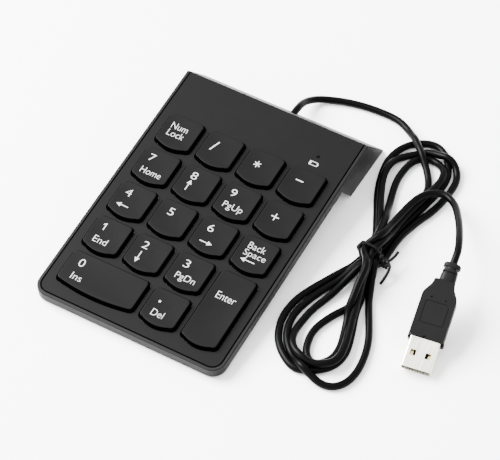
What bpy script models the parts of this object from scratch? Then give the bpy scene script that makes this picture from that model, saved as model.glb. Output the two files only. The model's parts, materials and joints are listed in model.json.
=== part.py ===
"""Slim numeric keypad with a tied USB lead, at real size, in metres, +Z up.

The origin is the centre of the keypad's footprint, on the surface it stands on.
The top face slopes, so the case and everything in it is placed under one empty, the
deck frame: x across, y towards the rear from the front edge, z up from the top face.
"""

import math

import bmesh
import bpy
from mathutils import Matrix, Vector

COLLECTION_NAME = "numeric_keypad"
GAP = 0.0003  # clearance between pieces that meet
FILM_GAP = 0.0001  # clearance between the thin stacked sheets

# Case, in the deck frame.
DECK_TILT = math.radians(5.8)
CASE_LENGTH = 0.1368  # along the table
CASE_WIDTH = 0.0856
DECK_FRONT_HEIGHT = 0.00557
EDGE_DEPTH = 0.0052  # height of the rim's side face
BELLY_DEPTH = 0.0074  # underside of the middle, below the top face
BELLY_INSET = 0.0040
TABLE_CLEARANCE = 0.0004  # the feet stand this proud
FRONT_CORNER = 0.0060
REAR_TOP = 0.1224  # deck y of the top face's rear edge
BEHIND_CASE = 0.16  # any deck y past the rear
WEDGE_FRONT = 0.0395  # world y of the wedge's lower front edge
WEDGE_ROOT = 0.1002  # deck y where the wedge leaves the belly
SIDE_WALL = 0.0026
FLOOR_WALL = 0.0009
WEDGE_WALL = 0.0018
RIM_WIDTH = 0.0013
SEAM_WIDTH = 0.00065
COVER_THICKNESS = 0.0013
REBATE_DEPTH = COVER_THICKNESS + GAP
LIP_DEPTH = 0.0040  # how far the top cover wraps down the rear face
LIP_THICKNESS = 0.0021

# Keys. A key's outline is its top face; its skirt flares out to the base.
PITCH = 0.0190
FRONT_ROW = 0.0161  # deck y of the front row's centre
KEY_WIDTH = 0.01523
KEY_DEPTH = 0.01445
KEY_CORNER = 0.0015
KEY_BOW = 0.0015  # how far the front edge bows forwards
KEY_TOP = 0.0018
KEY_SHOULDER = 0.0013
KEY_UNDERSIDE = 0.0008
SKIRT_BOTTOM = -0.0004
SKIRT_FLARE = 0.00075
SKIRT_WALL = 0.0008
OPENING_GROWTH = SKIRT_FLARE + GAP
STEM_SIDE = 0.0040
STEM_BOTTOM = -0.0020

# Key mechanism levels, in the deck frame.
SLEEVE_TOP = -0.0010
SLEEVE_SIDE = 0.0062
CARRIER_TOP = -0.0021
CARRIER_BOTTOM = -0.0027
DOME_TOP = -0.0023
DOME_TOP_RADIUS = 0.0016
DOME_FOOT_RADIUS = 0.0034
DOME_WALL = 0.0004
SHEET_TOP = -0.0039
SHEET_BOTTOM = -0.0041
FILM_THICKNESS = 0.0001
STEEL_THICKNESS = 0.0003
STACK_HALF_WIDTH = 0.0365
STACK_FRONT = 0.0096
STACK_REAR = 0.0995

# Stabiliser wires of the two long keys: a bar in saddles and two arms up to the key.
WIRE_RADIUS = 0.00035
WIRE_BAR_HEIGHT = -0.0015
WIRE_END_HEIGHT = 0.00015
WIRE_HALF_SPAN = 0.0130
WIRE_BAR_OFFSET = 0.0046
WIRE_ARM = 0.0060
WIRE_HOOK = 0.0020
CLIP_SLOT = 0.0017
SADDLE_SLOT = 0.0013
SADDLE_OFFSET = 0.0080
POST_THICKNESS = 0.0008

# Electronics.
BOARD_HALF_WIDTH = 0.0240
BOARD_FRONT = 0.1010
BOARD_REAR = 0.1170
BOARD_TOP = -0.0049
BOARD_BOTTOM = -0.0059
CLAMP_Y = 0.1052
CLAMP_SCREW_X = 0.0160
CLAMP_TOP = -0.0029
LIGHT_X = 0.0273
LIGHT_Y = 0.1082
LIGHT_HOLE_RADIUS = 0.00075

# Fasteners and feet: (deck x, deck y).
FRONT_SCREWS = ((-0.0365, 0.0052), (0.0365, 0.0052))
REAR_SCREWS = ((-0.0360, 0.1130), (0.0360, 0.1130))
SCREW_HOLE_RADIUS = 0.0012
PILOT_RADIUS = 0.0011
BOARD_PILOT_RADIUS = 0.0010
FRONT_BOSS = (0.0024, -0.0039)  # radius and lower end
REAR_BOSS = (0.0026, -0.0062)
FRONT_SINK = (0.0022, -0.0048)  # radius and upper end
REAR_SINK = (0.0023, -0.0085)
FRONT_PAD_RADIUS = 0.0034
FOOT_PAD_RADIUS = 0.0042
PAD_TOP = -0.0042
WELL = (0.0036, -0.0065)  # radius and upper end
BOARD_POST = (0.0024, -0.0062)
FLOOR_LEVEL = -0.0162  # inside the wedge's floor, where posts begin
BELOW_CASE = -0.0250
ABOVE_CASE = 0.0030
SCREW_HEAD_HEIGHT = 0.0008
FRONT_SCREW_LENGTH = 0.0021
REAR_SCREW_LENGTH = 0.0052
BOARD_SCREW_LENGTH = 0.0074
FRONT_FEET = ((-0.0220, 0.0050), (0.0220, 0.0050))
REAR_FEET = ((-0.0330, 0.0545), (0.0330, 0.0545))  # world x and y
FOOT_RADIUS = 0.0031
FOOT_HEIGHT = 0.0012

# Lead.
CORD_RADIUS = 0.00155
GROMMET_RADIUS = 0.0032
GROMMET_FLANGE_RADIUS = 0.0044
GROMMET_FLANGE = -0.0057  # behind the rear face, where the flange begins
GROMMET_INNER_END = -0.0070
EXIT_X = 0.0036
EXIT_Z = -0.0104  # deck frame
CORD_STEP = 0.0088
LEAD_ROUTE = (
    (0.0036, 0.0626, 0.0083),
    (0.0036, 0.0656, 0.0080),
    (0.0033, 0.0692, 0.0066),
    (0.0034, 0.0724, 0.0050),
    (0.0043, 0.0754, 0.0036),
    (0.0061, 0.0780, 0.0026),
    (0.0089, 0.0801, 0.0020),
    (0.0169, 0.0832, 0.0018),
    (0.0264, 0.0850, 0.0018),
    (0.0371, 0.0853, 0.0018),
    (0.0443, 0.0836, 0.0023),
    (0.0494, 0.0803, 0.0037),
)
TAIL_ROUTE = (
    (0.0823, 0.0521, 0.0074),
    (0.0847, 0.0498, 0.0084),
    (0.0876, 0.0457, 0.0102),
    (0.0922, 0.0378, 0.0136),
    (0.0959, 0.0303, 0.0164),
    (0.0979, 0.0257, 0.0177),
    (0.0993, 0.0217, 0.0181),
    (0.0998, 0.0189, 0.0176),
    (0.1001, 0.0169, 0.0170),
)
HANK_BOTTOM = 0.0003
HANK_TOP = 0.0083
HANK_OUTLINE = (
    (0.0660, 0.0818), (0.0560, 0.0808), (0.0498, 0.0765), (0.0460, 0.0690),
    (0.0458, 0.0590), (0.0482, 0.0460), (0.0540, 0.0310), (0.0598, 0.0200),
    (0.0608, 0.0120), (0.0580, 0.0030), (0.0518, -0.0110), (0.0476, -0.0230),
    (0.0474, -0.0330), (0.0515, -0.0430), (0.0590, -0.0490), (0.0700, -0.0500),
    (0.0795, -0.0517), (0.0860, -0.0480), (0.0887, -0.0390), (0.0875, -0.0280),
    (0.0825, -0.0150), (0.0765, -0.0040), (0.0722, 0.0080), (0.0716, 0.0160),
    (0.0728, 0.0290), (0.0752, 0.0400), (0.0786, 0.0500), (0.0796, 0.0620),
    (0.0770, 0.0730), (0.0725, 0.0795),
)
WAIST = (0.0662, 0.0140)
WAIST_HALF_WIDTH = 0.0055
TIE_RADIUS = 0.0006

# Plug: its own frame has the shell's root at the origin, y towards the lead. It lies on its
# nose, with the lead holding its other end off the table.
PLUG_AT = (0.10469, -0.01504, 0.00660)
PLUG_TILT = math.radians(18.0)
PLUG_ROLL = math.radians(3.5)
PLUG_TURN = math.radians(9.4)
PLUG_HALF_HEIGHT = 0.0031
SHELL_WIDTH = 0.0120
SHELL_HEIGHT = 0.0045
SHELL_LENGTH = 0.0126
SHELL_WALL = 0.0003
TONGUE_TOP = 0.0001
TONGUE_LENGTH = 0.0120
WINDOW_X = 0.0030
WINDOW_Y = -0.0068
WINDOW_HALF = (0.0011, 0.0012)
GRIP_HALF_WIDTH = 0.0070
GRIP_SHOULDER = 0.0178
GRIP_NECK = 0.0043
GRIP_LENGTH = 0.0249
NECK_RADIUS = 0.0031
NECK_GROOVE = 0.0025
NECK_LENGTH = 0.0080
NECK_TURN = math.radians(-1)

KEY_ROWS = (
    ("num_lock", "divide", "multiply", "subtract"),
    ("7", "8", "9", "add"),
    ("4", "5", "6", "backspace"),
    ("1", "2", "3", None),
    (None, None, "decimal", None),
)
LONG_KEYS = (("0", 0, 0, 2, 1), ("enter", 3, 0, 1, 2))

parts = bpy.data.collections.new(COLLECTION_NAME)
cutters = bpy.data.collections.new("cutters")
materials = {}


def clear_scene():
    for obj in list(bpy.data.objects):
        bpy.data.objects.remove(obj)
    bpy.context.scene.collection.children.link(parts)
    bpy.context.scene.collection.children.link(cutters)
    cutters.hide_render = True


def make_material(name, colour, roughness, metallic=0.0):
    material = bpy.data.materials.new(name)
    material.use_nodes = True
    shader = material.node_tree.nodes["Principled BSDF"]
    shader.inputs["Base Color"].default_value = (*colour, 1.0)
    shader.inputs["Roughness"].default_value = roughness
    shader.inputs["Metallic"].default_value = metallic
    material.diffuse_color = (*colour, 1.0)
    materials[name] = material


def make_materials():
    make_material("cover_plastic", (0.045, 0.045, 0.047), 0.50)
    make_material("tray_plastic", (0.070, 0.070, 0.073), 0.50)
    make_material("key_plastic", (0.035, 0.035, 0.037), 0.45)
    make_material("carrier_plastic", (0.020, 0.020, 0.022), 0.60)
    make_material("silicone", (0.80, 0.80, 0.78), 0.60)
    make_material("film", (0.62, 0.70, 0.66), 0.35)
    make_material("steel", (0.60, 0.60, 0.62), 0.35, 1.0)
    make_material("board", (0.03, 0.20, 0.08), 0.45)
    make_material("chip", (0.012, 0.012, 0.012), 0.50)
    make_material("light", (0.75, 0.80, 0.75), 0.20)
    make_material("rubber", (0.030, 0.030, 0.030), 0.85)
    make_material("cord_sheath", (0.018, 0.018, 0.019), 0.42)
    make_material("tie_plastic", (0.022, 0.022, 0.022), 0.45)
    make_material("plug_plastic", (0.020, 0.020, 0.021), 0.50)
    make_material("shell_metal", (0.82, 0.80, 0.76), 0.22, 1.0)
    make_material("tongue_plastic", (0.85, 0.85, 0.83), 0.50)
    make_material("gold", (0.83, 0.62, 0.24), 0.25, 1.0)


def add_object(name, data, material=None, parent=None, collection=None):
    obj = bpy.data.objects.new(name, data)
    (collection or parts).objects.link(obj)
    obj.parent = parent
    if material:
        data.materials.append(materials[material])
    if collection is cutters:
        obj.hide_render = True
        obj.display_type = "WIRE"
    return obj


def add_cutter(name, data, parent):
    return add_object(name, data, None, parent, cutters)


def boolean(obj, operation, other):
    modifier = obj.modifiers.new(operation.lower(), "BOOLEAN")
    modifier.operation = operation
    modifier.solver = "EXACT"
    modifier.object = other


def centre_origin(obj, centre):
    """Moves an object's origin to a point of its parent's frame; its shape stays put."""
    obj.data.transform(Matrix.Translation(-Vector(centre)))
    obj.location = centre


# ---- Outlines and solids


def arc(centre, radius, start, end, steps):
    points = []
    for i in range(steps + 1):
        angle = start + (end - start) * i / steps
        points.append((centre[0] + radius * math.cos(angle), centre[1] + radius * math.sin(angle)))
    return points


def rounded_corner(before, corner, after, radius, steps):
    """The arc of the given radius that replaces one corner of an outline."""
    corner = Vector(corner)
    towards_before = (Vector(before) - corner).normalized()
    towards_after = (Vector(after) - corner).normalized()
    half_angle = towards_before.angle(towards_after) / 2
    middle = (towards_before + towards_after).normalized()
    centre = corner + middle * (radius / math.sin(half_angle))
    first = corner + towards_before * (radius / math.tan(half_angle)) - centre
    last = corner + towards_after * (radius / math.tan(half_angle)) - centre
    start = math.atan2(first.y, first.x)
    turn = (math.atan2(last.y, last.x) - start + math.pi) % (2 * math.pi) - math.pi
    return arc(centre, radius, start, start + turn, steps)


def rounded_outline(corners, steps=4):
    """An outline from (x, y, corner radius) triples; a radius of 0 keeps the corner sharp."""
    points = []
    for i, (x, y, radius) in enumerate(corners):
        before = corners[i - 1][:2]
        after = corners[(i + 1) % len(corners)][:2]
        if radius:
            points.extend(rounded_corner(before, (x, y), after, radius, steps))
        else:
            points.append((x, y))
    return points


def rectangle(x0, y0, x1, y1, radius=0.0):
    return rounded_outline([(x0, y0, radius), (x1, y0, radius), (x1, y1, radius), (x0, y1, radius)])


def square(centre, side):
    half = side / 2
    return rectangle(centre[0] - half, centre[1] - half, centre[0] + half, centre[1] + half)


def circle(centre, radius, steps=16):
    return arc(centre, radius, 0, 2 * math.pi, steps)[:-1]


def inset(corners, distances):
    """Moves each side of a polygon inwards by its own distance. Side i starts at corner i."""
    count = len(corners)
    area = sum(
        corners[i][0] * corners[(i + 1) % count][1] - corners[(i + 1) % count][0] * corners[i][1]
        for i in range(count)
    )
    lines = []
    for i in range(count):
        start, end = Vector(corners[i]), Vector(corners[(i + 1) % count])
        along = (end - start).normalized()
        inwards = Vector((-along.y, along.x)) * (1 if area > 0 else -1)
        lines.append((start + inwards * distances[i], along))
    moved = []
    for i in range(count):
        (p, d), (q, e) = lines[i - 1], lines[i]
        t = (q - p).cross(e) / d.cross(e)
        moved.append(tuple(p + d * t))
    return moved


def slab_mesh(name, outlines, low, high):
    """A flat plate between two heights; outlines inside the first are holes."""
    curve = bpy.data.curves.new(name, "CURVE")
    curve.dimensions = "2D"
    curve.fill_mode = "BOTH"
    curve.extrude = (high - low) / 2
    for outline in outlines:
        spline = curve.splines.new("POLY")
        spline.points.add(len(outline) - 1)
        for point, (x, y) in zip(spline.points, outline):
            point.co = (x, y, 0, 1)
        spline.use_cyclic_u = True
    mesh = mesh_of_curve(curve, name)
    mesh.transform(Matrix.Translation((0, 0, (low + high) / 2)))
    return mesh


def mesh_of_curve(curve, name):
    holder = bpy.data.objects.new(name, curve)
    bpy.context.scene.collection.objects.link(holder)
    evaluated = holder.evaluated_get(bpy.context.evaluated_depsgraph_get())
    mesh = bpy.data.meshes.new_from_object(evaluated)
    bpy.data.objects.remove(holder)
    bpy.data.curves.remove(curve)
    weld(mesh)
    return mesh


def weld(mesh):
    bm = bmesh.new()
    bm.from_mesh(mesh)
    bmesh.ops.remove_doubles(bm, verts=bm.verts, dist=1e-7)
    bmesh.ops.recalc_face_normals(bm, faces=bm.faces)
    bm.to_mesh(mesh)
    bm.free()


def prism_mesh(name, profile, half_width):
    """A side profile of (deck y, deck z) points, extruded across the deck."""
    mesh = slab_mesh(name, [profile], -half_width, half_width)
    mesh.transform(Matrix.Rotation(math.pi / 2, 4, "Z") @ Matrix.Rotation(math.pi / 2, 4, "X"))
    return mesh


def loft_mesh(name, sections):
    """Joins outlines of equal length, each at its own height, and caps both ends."""
    bm = bmesh.new()
    rings = []
    for outline, height in sections:
        rings.append([bm.verts.new((x, y, height)) for x, y in outline])
    for lower, upper in zip(rings, rings[1:]):
        for i in range(len(lower)):
            j = (i + 1) % len(lower)
            bm.faces.new((lower[i], lower[j], upper[j], upper[i]))
    bm.faces.new(rings[0])
    bm.faces.new(rings[-1])
    bmesh.ops.recalc_face_normals(bm, faces=bm.faces)
    mesh = bpy.data.meshes.new(name)
    bm.to_mesh(mesh)
    bm.free()
    return mesh


def tube_curve(name, path, radius, closed=False, resolution=2):
    curve = bpy.data.curves.new(name, "CURVE")
    curve.dimensions = "3D"
    curve.bevel_depth = radius
    curve.bevel_resolution = resolution
    curve.use_fill_caps = not closed
    spline = curve.splines.new("POLY")
    spline.points.add(len(path) - 1)
    for point, position in zip(spline.points, path):
        point.co = (*position, 1)
    spline.use_cyclic_u = closed
    return curve


def smooth_point(a, b, c, d, t):
    """A point between b and c on the curve that passes smoothly through a, b, c and d."""
    return 0.5 * (
        2 * b + (c - a) * t + (2 * a - 5 * b + 4 * c - d) * t ** 2
        + (3 * b - a - 3 * c + d) * t ** 3
    )


def smooth_route(route, step, closed=False):
    """Evenly spaced points along one smooth curve through the route's points."""
    knots = [Vector(point) for point in route]
    if closed:
        knots = [knots[-1], *knots, knots[0], knots[1]]
    else:
        knots = [2 * knots[0] - knots[1], *knots, 2 * knots[-1] - knots[-2]]
    fine = []
    for i in range(1, len(knots) - 2):
        for k in range(20):
            fine.append(smooth_point(knots[i - 1], knots[i], knots[i + 1], knots[i + 2], k / 20))
    fine.append(knots[-2])
    length = sum((q - p).length for p, q in zip(fine, fine[1:]))
    count = round(length / step)
    spaced = [fine[0]]
    travelled = 0.0
    for p, q in zip(fine, fine[1:]):
        travelled += (q - p).length
        if travelled >= len(spaced) * length / count and len(spaced) < count:
            spaced.append(q)
    return spaced if closed else [*spaced, fine[-1]]


def turned_mesh(name, profile, steps=20):
    """A profile of (radius, height) points turned about the z axis; it runs top to bottom."""
    mesh = bpy.data.meshes.new(name)
    bm = bmesh.new()
    verts = [bm.verts.new((radius, 0, height)) for radius, height in profile]
    for first, second in zip(verts, verts[1:]):
        bm.edges.new((first, second))
    bmesh.ops.spin(
        bm, geom=bm.verts[:] + bm.edges[:], cent=(0, 0, 0), axis=(0, 0, 1),
        angle=2 * math.pi, steps=steps, use_merge=True,
    )
    bmesh.ops.remove_doubles(bm, verts=bm.verts, dist=1e-7)
    bmesh.ops.recalc_face_normals(bm, faces=bm.faces)
    bm.to_mesh(mesh)
    bm.free()
    return mesh


# ---- Deck frame


def add_deck():
    deck = bpy.data.objects.new("deck_frame", None)
    parts.objects.link(deck)
    deck.location = (0, -CASE_LENGTH / 2, DECK_FRONT_HEIGHT)
    deck.rotation_euler = (DECK_TILT, 0, 0)
    return deck


def to_deck(y, z):
    """Deck (y, z) of a point given by its world y and z."""
    y += CASE_LENGTH / 2
    z -= DECK_FRONT_HEIGHT
    return (
        y * math.cos(DECK_TILT) + z * math.sin(DECK_TILT),
        z * math.cos(DECK_TILT) - y * math.sin(DECK_TILT),
    )


def case_profile():
    """Side view of the whole case: rim, wedge and slanting rear face."""
    wedge_front = to_deck(WEDGE_FRONT, TABLE_CLEARANCE)
    wedge_rear = to_deck(CASE_LENGTH / 2, TABLE_CLEARANCE)
    slope = (wedge_front[0] - WEDGE_ROOT) / (-BELLY_DEPTH - wedge_front[1])
    wedge_top = (WEDGE_ROOT - (BELLY_DEPTH - EDGE_DEPTH) * slope, -EDGE_DEPTH)
    return [(0, 0), (0, -EDGE_DEPTH), wedge_top, wedge_front, wedge_rear, (REAR_TOP, 0)]


def rear_face(z):
    """Deck y of the slanting rear face at a deck height."""
    bottom_y, bottom_z = case_profile()[4]
    return REAR_TOP + (bottom_y - REAR_TOP) * z / bottom_z


def belly_profile(wall):
    """Side view of the deeper middle, whose front lies parallel to the table."""
    level = to_deck(0, TABLE_CLEARANCE)
    slope = math.tan(DECK_TILT)
    front = BELLY_INSET
    bend = level[0] + (BELLY_DEPTH + level[1]) / slope
    front_depth = level[1] - (front - level[0]) * slope
    corners = [
        (front, -EDGE_DEPTH + 0.0010),
        (front, front_depth),
        (bend, -BELLY_DEPTH),
        (WEDGE_ROOT + 0.0030, -BELLY_DEPTH),
        (WEDGE_ROOT + 0.0030, -EDGE_DEPTH + 0.0010),
    ]
    return inset(corners, [wall, wall, wall, -4 * wall, -wall])


def plan_outline(margin):
    """The case seen from above, open-ended at the rear, grown inwards by a margin."""
    half = CASE_WIDTH / 2 - margin
    radius = FRONT_CORNER - margin
    return rounded_outline([
        (-half, margin, radius), (half, margin, radius), (half, BEHIND_CASE, 0), (-half, BEHIND_CASE, 0),
    ], steps=5)


def plan_cutter(name, margin, deck):
    return add_cutter(name, slab_mesh(name, [plan_outline(margin)], -0.03, 0.03), deck)


# ---- Keys


def key_cells():
    """Yields each key's name, column, row from the front, columns and rows."""
    for i, names in enumerate(KEY_ROWS):
        for column, name in enumerate(names):
            if name:
                yield name, column, len(KEY_ROWS) - 1 - i, 1, 1
    yield from LONG_KEYS


def key_place(column, row, columns, rows):
    """Centre, width and depth of a key's top face."""
    x = (column - 1.5 + (columns - 1) / 2) * PITCH
    y = FRONT_ROW + (row + (rows - 1) / 2) * PITCH
    return (x, y), KEY_WIDTH + (columns - 1) * PITCH, KEY_DEPTH + (rows - 1) * PITCH


def key_outline(centre, width, depth, growth, corner_steps=2, bow_steps=4):
    """A rounded rectangle whose front edge bows forwards, grown on every side."""
    half_width = width / 2 + growth
    half_depth = depth / 2 + growth
    radius = KEY_CORNER + max(growth, 0)
    x, y = centre
    front_left = (x - half_width + radius, y - half_depth + radius)
    front_right = (x + half_width - radius, y - half_depth + radius)
    rear_right = (x + half_width - radius, y + half_depth - radius)
    rear_left = (x - half_width + radius, y + half_depth - radius)
    quarter = math.pi / 2
    points = arc(front_left, radius, 2 * quarter, 3 * quarter, corner_steps)
    span = half_width - radius
    for i in range(1, bow_steps):
        across = -1 + 2 * i / bow_steps
        points.append((x + across * span, y - half_depth - KEY_BOW * (1 - across ** 2)))
    points += arc(front_right, radius, -quarter, 0, corner_steps)
    points += arc(rear_right, radius, 0, quarter, corner_steps)
    points += arc(rear_left, radius, quarter, 2 * quarter, corner_steps)
    return points


def keycap_mesh(name, centre, width, depth):
    """A hollow cap: up the inside, round the skirt's foot and up the outside."""
    return loft_mesh(name, [
        (key_outline(centre, width, depth, -SKIRT_WALL), KEY_UNDERSIDE),
        (key_outline(centre, width, depth, SKIRT_FLARE - SKIRT_WALL), SKIRT_BOTTOM),
        (key_outline(centre, width, depth, SKIRT_FLARE), SKIRT_BOTTOM),
        (key_outline(centre, width, depth, 0.0002), KEY_SHOULDER),
        (key_outline(centre, width, depth, 0), KEY_TOP),
    ])


def wire_points(centre, turned, height_of_ends):
    """Route of a stabiliser wire: hook, arm, bar, arm, hook. Turned wires lie along y."""
    run = math.sqrt(WIRE_ARM ** 2 - (height_of_ends - WIRE_BAR_HEIGHT) ** 2)
    front = WIRE_BAR_OFFSET - run
    local = [
        (-WIRE_HALF_SPAN + WIRE_HOOK, front, height_of_ends),
        (-WIRE_HALF_SPAN, front, height_of_ends),
        (-WIRE_HALF_SPAN, WIRE_BAR_OFFSET, WIRE_BAR_HEIGHT),
        (WIRE_HALF_SPAN, WIRE_BAR_OFFSET, WIRE_BAR_HEIGHT),
        (WIRE_HALF_SPAN, front, height_of_ends),
        (WIRE_HALF_SPAN - WIRE_HOOK, front, height_of_ends),
    ]
    return [to_key(centre, turned, u, v, w) for u, v, w in local]


def to_key(centre, turned, u, v, w):
    """A point given along a long key (u), across it (v) and upwards (w)."""
    if turned:
        return (centre[0] + v, centre[1] - u, w)
    return (centre[0] + u, centre[1] + v, w)


def key_rectangle(centre, turned, u0, v0, u1, v1):
    first = to_key(centre, turned, u0, v0, 0)
    second = to_key(centre, turned, u1, v1, 0)
    x0, x1 = sorted((first[0], second[0]))
    y0, y1 = sorted((first[1], second[1]))
    return rectangle(x0, y0, x1, y1)


def paired_posts(centre, turned, u_middle, v_middle, slot, thickness, length):
    """Two thin posts, one on each side of a wire."""
    outlines = []
    for side in (-1, 1):
        near, far = v_middle + side * slot / 2, v_middle + side * (slot / 2 + thickness)
        outlines.append(
            key_rectangle(centre, turned, u_middle - length / 2, near, u_middle + length / 2, far)
        )
    return outlines


def clip_outlines(centre, turned):
    """Guides under a long key that hold the ends of its wire."""
    run = math.sqrt(WIRE_ARM ** 2 - (WIRE_END_HEIGHT - WIRE_BAR_HEIGHT) ** 2)
    outlines = []
    for side in (-1, 1):
        u = side * (WIRE_HALF_SPAN - WIRE_HOOK + 0.0006)
        v = WIRE_BAR_OFFSET - run - 0.0001
        outlines += paired_posts(centre, turned, u, v, CLIP_SLOT, POST_THICKNESS, 0.0012)
    return outlines


def add_keys(deck):
    for key, column, row, columns, rows in key_cells():
        centre, width, depth = key_place(column, row, columns, rows)
        name = "key_" + key
        cap = add_object(name, keycap_mesh(name, centre, width, depth), "key_plastic", deck)
        outlines = [square(centre, STEM_SIDE)]
        stem = slab_mesh(name + "_stem", outlines, STEM_BOTTOM, KEY_UNDERSIDE + 0.0004)
        stem_object = add_cutter(name + "_stem", stem, deck)
        centre_origin(stem_object, (*centre, 0))
        centre_origin(cap, (*centre, 0))
        boolean(cap, "UNION", stem_object)
        if columns + rows > 2:
            clips = slab_mesh(
                name + "_clips", clip_outlines(centre, rows > 1), SKIRT_BOTTOM, KEY_UNDERSIDE + 0.0004
            )
            boolean(cap, "UNION", add_cutter(name + "_clips", clips, deck))
            add_stabiliser(key, centre, rows > 1, deck)


def add_stabiliser(key, centre, turned, deck):
    path = wire_points(centre, turned, WIRE_END_HEIGHT)
    curve = tube_curve("stabiliser_" + key, path, WIRE_RADIUS, resolution=1)
    wire = add_object("stabiliser_" + key, mesh_of_curve(curve, "stabiliser_" + key), "steel", deck)
    centre_origin(wire, to_key(centre, turned, 0, WIRE_BAR_OFFSET, WIRE_BAR_HEIGHT))


# ---- Mechanism under the keys


def key_centres():
    return [key_place(*cell[1:])[0] for cell in key_cells()]


def add_carrier(deck):
    plate = [rectangle(-0.0392, 0.0034, 0.0392, 0.0990, 0.0020)]
    mesh = slab_mesh("key_carrier", plate, CARRIER_BOTTOM, CARRIER_TOP)
    carrier = add_object("key_carrier", mesh, "carrier_plastic", deck)
    posts = [square(centre, SLEEVE_SIDE) for centre in key_centres()]
    for _, column, row, columns, rows in LONG_KEYS:
        centre = key_place(column, row, columns, rows)[0]
        for side in (-1, 1):
            u = side * SADDLE_OFFSET
            posts += paired_posts(centre, rows > 1, u, WIRE_BAR_OFFSET, SADDLE_SLOT, POST_THICKNESS, 0.0020)
    sleeves = slab_mesh("carrier_sleeves", posts, CARRIER_TOP - 0.0003, SLEEVE_TOP)
    boolean(carrier, "UNION", add_cutter("carrier_sleeves", sleeves, deck))
    bores = [square(centre, STEM_SIDE + 2 * GAP) for centre in key_centres()]
    bores += [circle(place, FRONT_BOSS[0] + 0.0010) for place in FRONT_SCREWS]
    bore_mesh = slab_mesh("carrier_bores", bores, CARRIER_BOTTOM - 0.0010, ABOVE_CASE)
    boolean(carrier, "DIFFERENCE", add_cutter("carrier_bores", bore_mesh, deck))


def dome_cones(name, top, foot, shrink):
    """One cone for each key, all in a single mesh."""
    bm = bmesh.new()
    for x, y in key_centres():
        bmesh.ops.create_cone(
            bm, cap_ends=True, segments=10, radius1=DOME_FOOT_RADIUS - shrink,
            radius2=DOME_TOP_RADIUS - shrink, depth=top - foot,
            matrix=Matrix.Translation((x, y, (top + foot) / 2)),
        )
    mesh = bpy.data.meshes.new(name)
    bm.to_mesh(mesh)
    bm.free()
    return mesh


def add_dome_sheet(deck):
    outline = [rectangle(-STACK_HALF_WIDTH, STACK_FRONT, STACK_HALF_WIDTH, STACK_REAR, 0.0015)]
    mesh = slab_mesh("dome_sheet", outline, SHEET_BOTTOM, SHEET_TOP)
    sheet = add_object("dome_sheet", mesh, "silicone", deck)
    domes = dome_cones("domes", DOME_TOP, SHEET_BOTTOM + 0.00005, 0)
    hollows = dome_cones("dome_hollows", DOME_TOP - DOME_WALL, SHEET_BOTTOM - 0.0003, DOME_WALL)
    boolean(sheet, "UNION", add_cutter("domes", domes, deck))
    boolean(sheet, "DIFFERENCE", add_cutter("dome_hollows", hollows, deck))


def add_switch_stack(deck):
    """Three films on a steel plate; the lower film has a tail that reaches the board."""
    outline = rectangle(-STACK_HALF_WIDTH, STACK_FRONT, STACK_HALF_WIDTH, STACK_REAR, 0.0015)
    tail = rounded_outline([
        (-STACK_HALF_WIDTH, STACK_FRONT, 0.0015), (STACK_HALF_WIDTH, STACK_FRONT, 0.0015),
        (STACK_HALF_WIDTH, STACK_REAR, 0.0015), (0.0080, STACK_REAR, 0), (0.0080, 0.1075, 0.0008),
        (-0.0080, 0.1075, 0.0008), (-0.0080, STACK_REAR, 0), (-STACK_HALF_WIDTH, STACK_REAR, 0.0015),
    ])
    spacer_holes = [circle(centre, 0.0025, 8) for centre in key_centres()]
    top = SHEET_BOTTOM - FILM_GAP
    for name, outlines in (
        ("membrane_upper", [outline]),
        ("membrane_spacer", [outline, *spacer_holes]),
        ("membrane_lower", [tail]),
    ):
        add_object(name, slab_mesh(name, outlines, top - FILM_THICKNESS, top), "film", deck)
        top -= FILM_THICKNESS + FILM_GAP
    top -= FILM_GAP / 2
    plate = slab_mesh("backing_plate", [outline], top - STEEL_THICKNESS, top)
    add_object("backing_plate", plate, "steel", deck)


# ---- Covers


def add_top_cover(deck):
    inner = LIP_THICKNESS
    profile = rounded_outline([
        (RIM_WIDTH + SEAM_WIDTH, 0, 0),
        (RIM_WIDTH + SEAM_WIDTH, -COVER_THICKNESS, 0),
        (rear_face(-COVER_THICKNESS) - inner, -COVER_THICKNESS, 0),
        (rear_face(-LIP_DEPTH) - inner, -LIP_DEPTH, 0),
        (rear_face(-LIP_DEPTH), -LIP_DEPTH, 0),
        (REAR_TOP, 0, 0.0020),
    ])
    half_width = CASE_WIDTH / 2 - RIM_WIDTH - SEAM_WIDTH
    cover = add_object("top_cover", prism_mesh("top_cover", profile, half_width), "cover_plastic", deck)
    boolean(cover, "INTERSECT", plan_cutter("top_cover_plan", RIM_WIDTH + SEAM_WIDTH, deck))
    for name, places, (radius, bottom) in (
        ("front_bosses", FRONT_SCREWS, FRONT_BOSS), ("rear_bosses", REAR_SCREWS, REAR_BOSS),
    ):
        bosses = slab_mesh(name, [circle(place, radius) for place in places], bottom, -COVER_THICKNESS / 2)
        boolean(cover, "UNION", add_cutter(name, bosses, deck))
    pilots = [circle(place, PILOT_RADIUS, 12) for place in (*FRONT_SCREWS, *REAR_SCREWS)]
    pilot_holes = slab_mesh("pilot_holes", pilots, REAR_BOSS[1] - 0.0010, -0.0010)
    boolean(cover, "DIFFERENCE", add_cutter("pilot_holes", pilot_holes, deck))
    openings = []
    for _, *cell in key_cells():
        openings.append(key_outline(*key_place(*cell), OPENING_GROWTH))
    openings.append(circle((LIGHT_X, LIGHT_Y), LIGHT_HOLE_RADIUS, 12))
    opening_mesh = slab_mesh("key_openings", openings, -COVER_THICKNESS - 0.0010, ABOVE_CASE)
    boolean(cover, "DIFFERENCE", add_cutter("key_openings", opening_mesh, deck))


def rounded_case_profile():
    radii = (0, 0.0010, 0.0008, 0.0012, 0.0004, 0.0020)
    return rounded_outline([(y, z, radius) for (y, z), radius in zip(case_profile(), radii)])


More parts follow.
